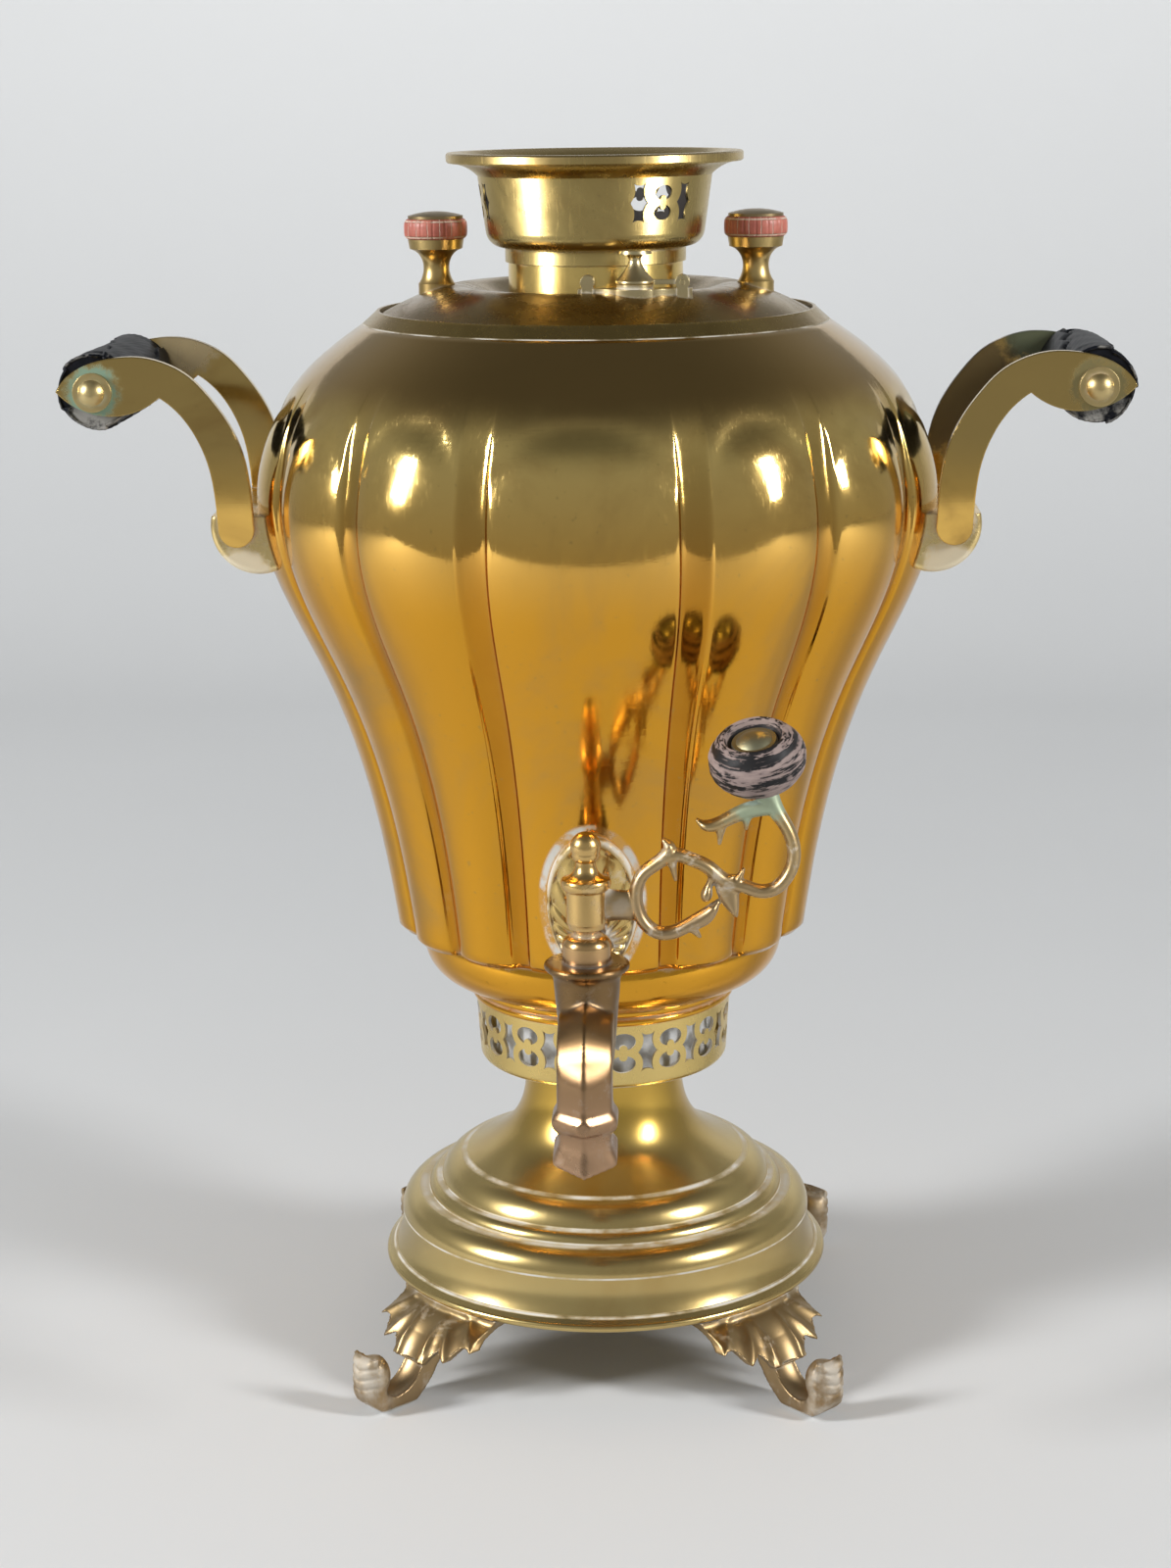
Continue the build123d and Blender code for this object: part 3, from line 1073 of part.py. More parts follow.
def tap_key():
    """The scroll branch: two open scrolls with leaves, cast flat, from the plug to the knob."""
    s = KEY_STROKE
    strokes = [
        [(5, 20.8, 10.6), (12, 20.8, 9.4), (18.4, 20.8, 9.8)],
        [(27.0, 45.0, 1.0), (29.4, 41.6, s), (25.6, 36.6, s), (19.8, 31.8, s), (17.6, 25.2, s),
         (18.0, 20.0, s), (21.0, 13.8, s), (25.8, 10.7, s), (31.4, 11.3, s), (36.4, 13.8, s),
         (41.6, 16.6, s * 1.2), (46.6, 22.6, 1.2)],
        [(27.6, 38.0, s), (31.4, 39.2, s), (37.0, 37.6, s), (42.8, 34.8, s), (47.2, 30.9, s),
         (51.4, 28.8, s), (55.4, 27.8, s), (60.0, 26.2, s), (65.6, 26.7, s), (70.0, 30.6, s),
         (72.6, 36.4, s), (72.6, 43.0, s), (70.2, 49.4, s), (66.4, 55.6, s * 1.3),
         (63.2, 61.6, s * 1.9)],
        [(65.6, 56.6, s * 1.4), (62.8, 56.4, s * 1.3), (56.8, 55.2, s * 1.2), (51.2, 52.9, s),
         (46.2, 50.4, s), (42.2, 49.8, s), (38.7, 52.3, 0.8)],
        [(48.6, 31.4, 6.0), (50.2, 24.4, 5.6), (53.0, 16.6, 0.8)],
        [(45.4, 33.4, 3.0), (42.9, 27.2, 2.0), (42.0, 23.8, 2.8), (41.4, 22.6, 1.6)],
        [(36.6, 13.6, 3.2), (40.2, 9.0, 0.8)],
        [(47.4, 50.4, 3.0), (46.9, 42.8, 0.8)],
        [(56.4, 54.6, 3.2), (56.1, 48.2, 0.8)],
        [(29.4, 40.6, 3.6), (31.6, 29.6, 0.8)],
        [(52.6, 28.6, 3.0), (55.5, 34.4, 0.8)],
    ]
    face = ribbon(strokes[0])
    for stroke in strokes[1:]:
        face = face + ribbon(stroke)
    branch = extrude(Plane.XZ * face, KEY_THICK / 2, both=True)
    pin_z = KNOB_RISE - 3
    spigot = (Pos(KNOB_X + 2.2, 0, pin_z) * knob_tilt() * Pos(0, 0, -3)
              * Cylinder(RIVET_SHANK_R + 1.2, 12))
    boss = Pos(0, 0, 20.8) * Cylinder(7.1, 60)
    knob = Pos(KNOB_X, 0, KNOB_RISE) * knob_tilt() * knob_blank()
    shape = branch + spigot - boss - knob
    return Pos(0, PLUG_Y, FLANGE_Z) * shape.solids().sort_by(SortBy.VOLUME)[-1]


def knob_tilt():
    return Rot(KNOB_TILT_FRONT, 0, 0) * Rot(0, -KNOB_TILT_SIDE, 0)


def knob_blank():
    """The knob's outline without its bore: a flattened ball with a dished top."""
    r, h = KNOB_R, KNOB_HALF_HEIGHT
    seat = h - KNOB_DISH
    seat_r = RIVET_WASHER_R + 0.2
    return turned(
        Line(at(0, -h), at(r * 0.42, -h)),
        Spline(at(r * 0.42, -h), at(r * 0.86, -h * 0.60), at(r, 0), at(r * 0.88, h * 0.62),
               at(seat_r + 2.4, h)),
        ThreePointArc(at(seat_r + 2.4, h), at(seat_r + 0.8, h - 0.9), at(seat_r, seat)),
        Line(at(seat_r, seat), at(0, seat)),
        Line(at(0, seat), at(0, -h)),
    )


def tap_knob():
    knob = knob_blank() - Cylinder(RIVET_SHANK_R, 4 * KNOB_HALF_HEIGHT)
    return Pos(KNOB_X, PLUG_Y, FLANGE_Z + KNOB_RISE) * knob_tilt() * knob


def tap_knob_rivet():
    """The rivet through the knob: shank, washer and domed head."""
    low, high = -KNOB_HALF_HEIGHT, KNOB_HALF_HEIGHT - KNOB_DISH
    rivet = turned(
        Line(at(0, low), at(RIVET_SHANK_R, low)),
        Line(at(RIVET_SHANK_R, low), at(RIVET_SHANK_R, high)),
        Line(at(RIVET_SHANK_R, high), at(RIVET_WASHER_R, high)),
        Line(at(RIVET_WASHER_R, high), at(RIVET_WASHER_R - 0.4, high + 0.9)),
        Line(at(RIVET_WASHER_R - 0.4, high + 0.9), at(RIVET_R, high + 0.9)),
        dome(RIVET_R, high + 0.9, high + 3.2),
        Line(at(0, high + 3.2), at(0, low)),
    )
    return Pos(KNOB_X, PLUG_Y, FLANGE_Z + KNOB_RISE) * knob_tilt() * rivet


def tap_nut(cavity):
    """The nut on the tail inside the body, its face shaped to the wall."""
    start = LOBE_FOOT_R + 8
    plane = Plane(origin=(0, -start, TAIL_Z), x_dir=(1, 0, 0), z_dir=(0, 1, 0))
    nut = plane * RegularPolygon(TAIL_NUT_R, 6)
    prism = extrude(nut, start - LOBE_FOOT_R + BODY_WALL + TAIL_NUT_THICK)
    return (prism & cavity) - tap_line_y(TAIL_R, TAIL_Z, 0, PLUG_Y)


# ---- Build ----

def build():
    outer = body_solid(0)
    cavity = body_cavity()
    lid = lid_filled()
    parts = {}
    corners = (("front_right", 45), ("rear_right", 135), ("rear_left", 225), ("front_left", 315))
    for name, angle in corners:
        parts["foot_" + name] = foot(angle)
    parts["base_rim"] = base_rim()
    parts["base_skirt"] = base_skirt()
    parts["base_pedestal"] = base_pedestal()
    parts["gallery"] = gallery()
    parts["gallery_liner"] = gallery_liner()
    parts["lower_bowl"] = lower_bowl()
    parts["body_shell"] = body_shell(outer, cavity)
    parts["lid_seat_ring"] = lid_seat_ring()
    parts["fire_tube"] = fire_tube()
    parts["grate"] = grate()
    parts["crown"] = crown()
    parts["lid_shell"] = lid_shell()
    for name, x in (("left", -LID_KNOB_X), ("right", LID_KNOB_X)):
        parts["lid_knob_stem_" + name] = lid_knob_stem(x, lid)
        parts["lid_knob_ring_" + name] = lid_knob_ring(x)
        parts["lid_knob_cap_" + name] = lid_knob_cap(x)
    parts["vent_base"] = vent_base(lid)
    parts["vent_pin"] = vent_pin()
    parts["vent_cap"] = vent_cap()
    for name, side in (("left", -1), ("right", 1)):
        parts["handle_saddle_" + name] = handle_saddle(side, outer)
        parts["handle_arm_front_" + name] = handle_arm(side, -1)
        parts["handle_arm_rear_" + name] = handle_arm(side, 1)
        parts["handle_rod_" + name] = handle_rod(side)
        parts["handle_grip_" + name] = handle_grip(side)
    parts["handle_washers"], parts["handle_nuts"] = handle_fasteners()
    parts["tap_escutcheon"] = tap_escutcheon(outer)
    parts["tap_body"] = tap_body()
    parts["tap_nut"] = tap_nut(cavity)
    parts["tap_plug"] = tap_plug()
    parts["tap_key"] = tap_key()
    parts["tap_knob"] = tap_knob()
    parts["tap_knob_rivet"] = tap_knob_rivet()
    parts["plug_washer"] = plug_washer()
    parts["plug_screw"] = plug_screw()
    return parts


if __name__ == "__main__":
    os.makedirs("parts", exist_ok=True)
    for node, shape in build().items():
        export_step(shape, "parts/" + node + ".step")
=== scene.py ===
from math import cos, pi, radians, sin, sqrt

import bmesh
import bpy
import numpy as np
from mathutils import Matrix, Vector


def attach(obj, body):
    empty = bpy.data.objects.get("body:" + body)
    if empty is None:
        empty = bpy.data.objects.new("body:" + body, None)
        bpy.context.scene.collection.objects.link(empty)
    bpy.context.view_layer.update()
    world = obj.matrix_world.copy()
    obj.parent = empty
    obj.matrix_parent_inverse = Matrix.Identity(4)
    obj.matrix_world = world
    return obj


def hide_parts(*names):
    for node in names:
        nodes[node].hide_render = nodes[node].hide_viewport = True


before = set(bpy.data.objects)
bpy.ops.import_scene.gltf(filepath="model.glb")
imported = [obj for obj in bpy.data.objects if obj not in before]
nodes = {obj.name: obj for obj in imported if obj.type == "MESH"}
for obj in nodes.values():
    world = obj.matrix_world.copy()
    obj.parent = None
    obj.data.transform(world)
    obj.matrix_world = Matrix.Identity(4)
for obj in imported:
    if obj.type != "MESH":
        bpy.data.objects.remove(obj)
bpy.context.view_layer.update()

# Materials and the stage are in metres; meshes are made in millimetres and scaled by MM.
MM = 0.001

# Places in millimetres that several pieces or materials share.
SEAM = 172.6                            # height of the seam between lower bowl and body
SHELL_Z = 203.75                        # height of the scallop shell's middle
TAP_Y = -130.0                          # the plug's axis, in front of the body
GRIP_X, GRIP_Z = 185.0, 388.0           # a grip's axis
KNOB_X = 60.4                           # a lid knob's axis
SCORED_Z = 444.4                        # middle height of the lid knobs' dyed rings


# ---------------------------------------------------------------- node helpers
class Tree:
    """Adds shader nodes to one material, each from its type and its inputs."""

    def __init__(self, name):
        self.material = bpy.data.materials.new(name)
        self.material.use_nodes = True
        self.tree = self.material.node_tree
        self.tree.nodes.clear()
        out = self.tree.nodes.new("ShaderNodeOutputMaterial")
        self.shader = self.tree.nodes.new("ShaderNodeBsdfPrincipled")
        self.tree.links.new(self.shader.outputs[0], out.inputs[0])
        self.place = self.tree.nodes.new("ShaderNodeTexCoord").outputs["Object"]
        split = self.tree.nodes.new("ShaderNodeSeparateXYZ")
        self.tree.links.new(self.place, split.inputs[0])
        self.x, self.y, self.z = split.outputs

    def put(self, socket, value):
        """Link a socket to an input, or write a number, vector or colour into it."""
        if isinstance(value, bpy.types.NodeSocket):
            self.tree.links.new(value, socket)
        elif isinstance(value, (tuple, list)) and len(value) == 3 and socket.type == "RGBA":
            socket.default_value = (*value, 1)
        else:
            socket.default_value = value

    def set(self, **inputs):
        """Set the shader's own inputs, with _ for each space in their names."""
        for name, value in inputs.items():
            self.put(self.shader.inputs[name.replace("_", " ")], value)

    def math(self, operation, a, b=0.0, clamp=False):
        node = self.tree.nodes.new("ShaderNodeMath")
        node.operation = operation
        node.use_clamp = clamp
        self.put(node.inputs[0], a)
        self.put(node.inputs[1], b)
        return node.outputs[0]

    def add(self, a, b, clamp=False):
        return self.math("ADD", a, b, clamp)

    def less(self, a, b, clamp=False):
        return self.math("SUBTRACT", a, b, clamp)

    def times(self, a, b):
        return self.math("MULTIPLY", a, b)

    def most(self, a, b):
        return self.math("MAXIMUM", a, b)

    def unsigned(self, a):
        return self.math("ABSOLUTE", a)

    def gap(self, a, b):
        """How far apart two values are."""
        return self.unsigned(self.less(a, b))

    def ramp(self, value, low, high, to_low=0.0, to_high=1.0):
        """A smooth step from to_low to to_high while the value goes from low to high."""
        node = self.tree.nodes.new("ShaderNodeMapRange")
        node.interpolation_type = "SMOOTHSTEP"
        for socket, item in zip(node.inputs, (value, low, high, to_low, to_high)):
            self.put(socket, item)
        return node.outputs[0]

    def mix(self, share, a, b):
        node = self.tree.nodes.new("ShaderNodeMix")
        node.data_type = "RGBA"
        self.put(node.inputs[0], share)
        self.put(node.inputs[6], a)
        self.put(node.inputs[7], b)
        return node.outputs[2]

    def stretched(self, scale, turn=(0, 0, 0)):
        node = self.tree.nodes.new("ShaderNodeMapping")
        self.put(node.inputs[0], self.place)
        node.inputs["Rotation"].default_value = turn
        node.inputs["Scale"].default_value = scale
        return node.outputs[0]

    def noise(self, scale, detail=3.0, rough=0.55, place=None, warp=0.0):
        node = self.tree.nodes.new("ShaderNodeTexNoise")
        self.put(node.inputs["Vector"], place or self.place)
        node.inputs["Scale"].default_value = scale
        node.inputs["Detail"].default_value = detail
        node.inputs["Roughness"].default_value = rough
        node.inputs["Distortion"].default_value = warp
        return node.outputs[0]

    def jitter(self, spread, *noise):
        """Noise about zero, over a whole width of spread."""
        return self.times(self.less(self.noise(*noise), 0.5), spread)

    def corner(self, distance):
        """1 in the open, less where another surface is within the distance."""
        node = self.tree.nodes.new("ShaderNodeAmbientOcclusion")
        node.samples = 6
        node.inputs["Distance"].default_value = distance
        return node.outputs["AO"]

    def vector(self, operation, a, b=(0, 0, 0)):
        node = self.tree.nodes.new("ShaderNodeVectorMath")
        node.operation = operation
        self.put(node.inputs[0], a)
        self.put(node.inputs[1], b)
        return node.outputs["Value" if operation in ("DISTANCE", "DOT_PRODUCT") else "Vector"]

    def level(self):
        """The place with its height taken away."""
        return self.vector("MULTIPLY", self.place, (1, 1, 0))

    def far(self, place, spread=0.0):
        """Distance from a point, made uneven by noise."""
        return self.add(self.vector("DISTANCE", self.place, place), self.jitter(spread, 160, 4, 0.65))

    def around(self):
        """Distance from the samovar's axis."""
        return self.vector("DISTANCE", self.level())

    def facing_out(self):
        """1 where the surface faces away from the samovar's axis, -1 where it faces the axis."""
        out = self.vector("NORMALIZE", self.level())
        return self.vector("DOT_PRODUCT", self.shape("True Normal"), out)

    def shape(self, which):
        return self.tree.nodes.new("ShaderNodeNewGeometry").outputs[which]

    def attribute(self, name):
        node = self.tree.nodes.new("ShaderNodeAttribute")
        node.attribute_name = name
        return node.outputs["Fac"]

    def softened(self, radius):
        """The normal, with sharp edges rounded to a radius."""
        node = self.tree.nodes.new("ShaderNodeBevel")
        node.samples = 4
        node.inputs["Radius"].default_value = radius
        return node.outputs[0]

    def bump(self, height, distance, strength=1.0, normal=None):
        node = self.tree.nodes.new("ShaderNodeBump")
        self.put(node.inputs["Strength"], strength)
        node.inputs["Distance"].default_value = distance
        self.put(node.inputs["Height"], height)
        if normal:
            self.put(node.inputs["Normal"], normal)
        return node.outputs[0]


# ---------------------------------------------------------------- materials
RESIDUE = (0.62, 0.60, 0.55)            # dried polish and scale
VERDIGRIS, DEEP_GREEN, GREEN_BLACK = (0.20, 0.50, 0.44), (0.10, 0.32, 0.29), (0.03, 0.07, 0.05)
# The second is pale film with a painted highlight, for the saddles.
# The third is a painted shade: dark brown for the rear arm's side that faces the body.
GREY_WHITE, CREAM_FILM_AND_HIGHLIGHT, SHADE_BROWN = (0.42, 0.42, 0.40), (0.80, 0.76, 0.66), (0.07, 0.045, 0.012)
SOOT, WORN_SOOT = (0.020, 0.017, 0.015), (0.055, 0.045, 0.04)
BROWNED = (0.62, 0.50, 0.42)            # what is left of red, green and blue under tarnish
SPECK = 0.45                            # what is left of a colour in a dark speck


def shell_ring(t, patch, half_wide, half_tall, edge):
    """Share of film along an oval round the tap's shell, on the body's front."""
    across = t.math("DIVIDE", t.x, half_wide)
    upward = t.math("DIVIDE", t.less(t.z, SHELL_Z * MM), half_tall)
    oval = t.math("SQRT", t.add(t.times(across, across), t.times(upward, upward)))
    near = t.times(t.ramp(t.gap(oval, 1.0), edge, edge * 0.3), t.ramp(t.y, -0.06, -0.07))
    return t.times(near, t.ramp(patch, 0.38, 0.56, 0.10, 1.0))


def sooted(t, radius, slope, floor, top):
    """Share of soot on an inside up to its top: on the wall that faces the axis, and on the floor.

    The floor ends at the wall, whose radius grows by slope for each metre of height.
    """
    wall = t.add(radius, t.times(t.less(t.z, floor), slope))
    bottom = t.times(t.ramp(t.less(wall, t.around()), 0.0, 0.0003), t.ramp(t.z, floor, floor + 0.0006))
    black = t.most(bottom, t.ramp(t.facing_out(), -0.05, -0.15))
    return t.times(black, t.ramp(t.z, top + 0.001, top))


def brass(name, low, high, levels, rough, grime=0.35, residue=0.5, reach=0.0035, dull=0.0, marks=1.0,
          waves=0.0, soft=0.0, rims=0.0, patches=0.0, seams=(), stains=(), shoulder_shade=None,
          channel_shade=None, ring=None, toes=None, soot=None, dome=None):
    """Worn brass whose colour goes from low to high between two levels.

    rough, dull     roughness where it is polished, and how much duller it gets
    grime, marks    share of brown clouds; strength of specks and scratches
    residue, reach  share of pale film in corners, and how far from them it reaches
    patches, rims   share of film in loose patches, and on cut edges
    waves, soft     unevenness of the sheet; radius of the rounded edges
    seams           heights of thin lines of film
    stains          (place, radius, colour, share) of each
    shoulder_shade  (start, end, colour) of a painted shade: a darker colour above a height
    channel_shade   painted shade: the colours low and high where the mesh's channel_shade attribute is 1, in the flutes
    ring            half width, half height and edge of the oval of film round the tap's shell
    toes            distances from the axis at which the toes' film starts and is full
    soot            radius, slope, floor and top of a sooty inside
    dome            (height, bend): normals bent as if the sheet bulged about the height
    """
    t = Tree(name)
    tone = t.ramp(t.z, *levels)
    clouds = t.noise(14, 5, 0.62, warp=0.6)
    brown = tuple(part * left for part, left in zip(high, BROWNED))
    colour = t.mix(t.ramp(clouds, 0.46, 0.74, 0, grime), t.mix(tone, low, high), brown)
    # Painted shade: the colour turns darker above a height.
    if shoulder_shade:
        start, end, tint = shoulder_shade
        colour = t.mix(t.ramp(t.add(t.z, t.jitter(0.014, 30, 4, 0.6)), start, end), colour, tint)
    # Painted shade: the flute channels darkened, mottled by the clouds.
    if channel_shade:
        groove = t.times(t.attribute("channel_shade"), t.ramp(clouds, 0.3, 0.7, 0.75, 1.0))
        colour = t.mix(groove, colour, t.mix(tone, *channel_shade))
    specks = t.ramp(t.noise(420, 2, 0.5), 0.66, 0.78, 0, 0.35 * marks)
    colour = t.mix(specks, colour, tuple(part * SPECK for part in high))

    patch = t.noise(95, 4, 0.6)
    edge = t.add(t.ramp(t.corner(reach), 0.86, 0.45), t.ramp(patch, 0.35, 0.70, -0.45, 0.30))
    film = t.ramp(edge, 0.30, 0.75, 0, residue)
    broken = t.ramp(t.noise(60, 4, 0.65), 0.34, 0.62, 0.15, 1.0)
    if patches:
        film = t.most(film, t.ramp(t.noise(110, 5, 0.72, warp=0.4), 0.54, 0.68, 0, patches))
    for seam in seams:
        film = t.most(film, t.times(t.ramp(t.gap(t.z, seam), 0.0006, 0.0001), broken))
    if ring:
        film = t.most(film, shell_ring(t, patch, *ring))
    if rims:
        cut = t.ramp(t.unsigned(t.facing_out()), 0.75, 0.35, 0, rims)
        film = t.most(film, t.times(cut, broken))
    if toes:
        toe = t.times(t.ramp(t.around(), *toes), t.ramp(patch, 0.36, 0.66))
        film = t.most(film, t.times(toe, 0.60))
    colour = t.mix(film, colour, RESIDUE)
    for place, size, tint, share in stains:
        spot = t.ramp(t.far(place, size * 1.1), size * 1.2, size * 0.8, 0, share)
        colour = t.mix(spot, colour, tint)
        film = t.most(film, t.times(spot, 0.75))

    fine = t.noise(900, 2, 0.5, t.stretched((1, 1, 0.02), (0.5, 0.3, 0)))
    swirl = t.noise(30, 4, 0.6, warp=1.5)
    roughness = t.add(t.ramp(swirl, 0.35, 0.75, rough, rough + 0.08 + dull),
                      t.ramp(fine, 0.55, 0.75, 0, 0.06 * marks))
    if soot:
        black = sooted(t, *soot)
        colour = t.mix(black, colour, t.mix(t.noise(40, 4), SOOT, WORN_SOOT))
        film = t.most(film, t.times(black, 0.6))
    roughness = t.add(roughness, t.times(film, 0.5), clamp=True)

    normal = t.softened(soft) if soft else None
    if waves:
        normal = t.bump(t.noise(22, 2, 0.5), 0.0010, waves, normal)
    if dome:
        height, bend = dome
        off = t.less(t.z, height)
        normal = t.bump(t.times(t.times(off, off), -0.5 * bend), 1.0, 1.0, normal)
    if marks:
        cross = t.noise(700, 2, 0.5, t.stretched((0.03, 1, 1), (0, 0.6, 0.4)))
        scratch = t.add(t.ramp(fine, 0.5, 0.8), t.ramp(cross, 0.55, 0.8))
        normal = t.bump(scratch, 0.00002, 0.4 * marks, normal)
    t.set(Base_Color=colour, Roughness=roughness, Metallic=t.less(1.0, film, clamp=True))
    if normal:
        t.set(Normal=normal)
    return t.material


def simple(name, colour, dark, scale, rough, metallic):
    """A grainy material in two colours."""
    t = Tree(name)
    grain = t.noise(scale, 6, 0.65)
    t.set(Base_Color=t.mix(t.ramp(grain, 0.35, 0.7), colour, dark), Metallic=metallic,
          Roughness=t.ramp(grain, 0.3, 0.7, rough, rough + 0.15), Normal=t.bump(grain, 0.0003, 0.6))
    return t.material


def lacquer():
    """Black lacquered wood, chipped along its edges and low at its ends down to pale grain."""
    t = Tree("black lacquer")
    grain = t.noise(260, 5, 0.7, t.stretched((1, 0.12, 1)))
    worn = t.times(t.ramp(t.shape("Pointiness"), 0.53, 0.62, 0, 0.6), t.ramp(grain, 0.40, 0.60))
    ends = t.ramp(t.unsigned(t.y), 0.0375, 0.0385, 0, 0.55)
    low = t.times(t.ramp(t.z, 0.389, 0.377), t.ramp(t.noise(90, 4, 0.7), 0.42, 0.60))
    worn = t.most(worn, t.times(ends, low))
    paint_coat = t.mix(t.ramp(grain, 0.4, 0.7), (0.004, 0.0045, 0.007), (0.010, 0.011, 0.016))
    t.set(Base_Color=t.mix(worn, paint_coat, (0.50, 0.48, 0.44)), Specular_IOR_Level=0.14,
          Roughness=t.ramp(worn, 0, 1, 0.44, 0.75), Normal=t.bump(grain, 0.0003, 0.6))
    return t.material


def worn_knob():
    """Turned wood whose dark paint is worn off in rings, in the knob's own frame."""
    t = Tree("worn turned wood")
    streak = t.noise(60, 6, 0.75, t.stretched((0.25, 0.25, 5.0)))
    ragged = t.noise(420, 4, 0.7, t.stretched((0.35, 0.35, 1.6)))
    paint_left = t.add(t.ramp(streak, 0.40, 0.60), t.ramp(ragged, 0.35, 0.70, -0.5, 0.5))
    groove = t.ramp(t.gap(t.z, 0.0070), 0.0010, 0.0004)
    dark = t.most(t.ramp(paint_left, 0.38, 0.60), groove)
    wood = t.mix(t.ramp(ragged, 0.3, 0.7), (0.34, 0.26, 0.235), (0.22, 0.165, 0.155))
    t.set(Base_Color=t.mix(dark, wood, (0.012, 0.011, 0.012)), Specular_IOR_Level=0.25,
          Roughness=t.ramp(dark, 0, 1, 0.62, 0.5), Normal=t.bump(dark, 0.0003, 0.8))
    return t.material


def scored_ring():
    """Red-brown dyed wood, with 16 pale scored lines round each knob and one along each edge."""
    t = Tree("dyed scored wood")
    across = t.less(t.unsigned(t.x), KNOB_X * MM)
    angle = t.times(t.math("ARCTAN2", t.y, across), 16 / (2 * pi))
    wobble = t.times(t.noise(300, 3), 0.16)
    upright = t.ramp(t.gap(t.math("FRACT", t.add(t.add(angle, 40), wobble)), 0.5), 0.045, 0.015)
    edge = t.ramp(t.gap(t.gap(t.z, SCORED_Z * MM), 0.0029), 0.00045, 0.00015)
    line = t.times(t.most(upright, edge), t.ramp(t.noise(240, 4, 0.6), 0.30, 0.50, 0.1, 1.0))
    dye = t.mix(t.ramp(t.noise(120, 5, 0.65), 0.35, 0.7), (0.56, 0.175, 0.125), (0.38, 0.105, 0.075))
    t.set(Base_Color=t.mix(line, dye, (0.66, 0.50, 0.40)), Roughness=t.ramp(line, 0, 1, 0.42, 0.7),
          Normal=t.bump(t.times(line, -1.0), 0.0004, 0.8))
    return t.material


BODY_LOW, BODY_HIGH = (0.71, 0.345, 0.032), (0.76, 0.56, 0.20)
SEAT, CAP, RIVET, NUT = (0.38, 0.27, 0.095), (0.34, 0.25, 0.13), (0.36, 0.34, 0.22), (0.56, 0.43, 0.20)
ROD_END = (-GRIP_X * MM, -0.0432, GRIP_Z * MM)

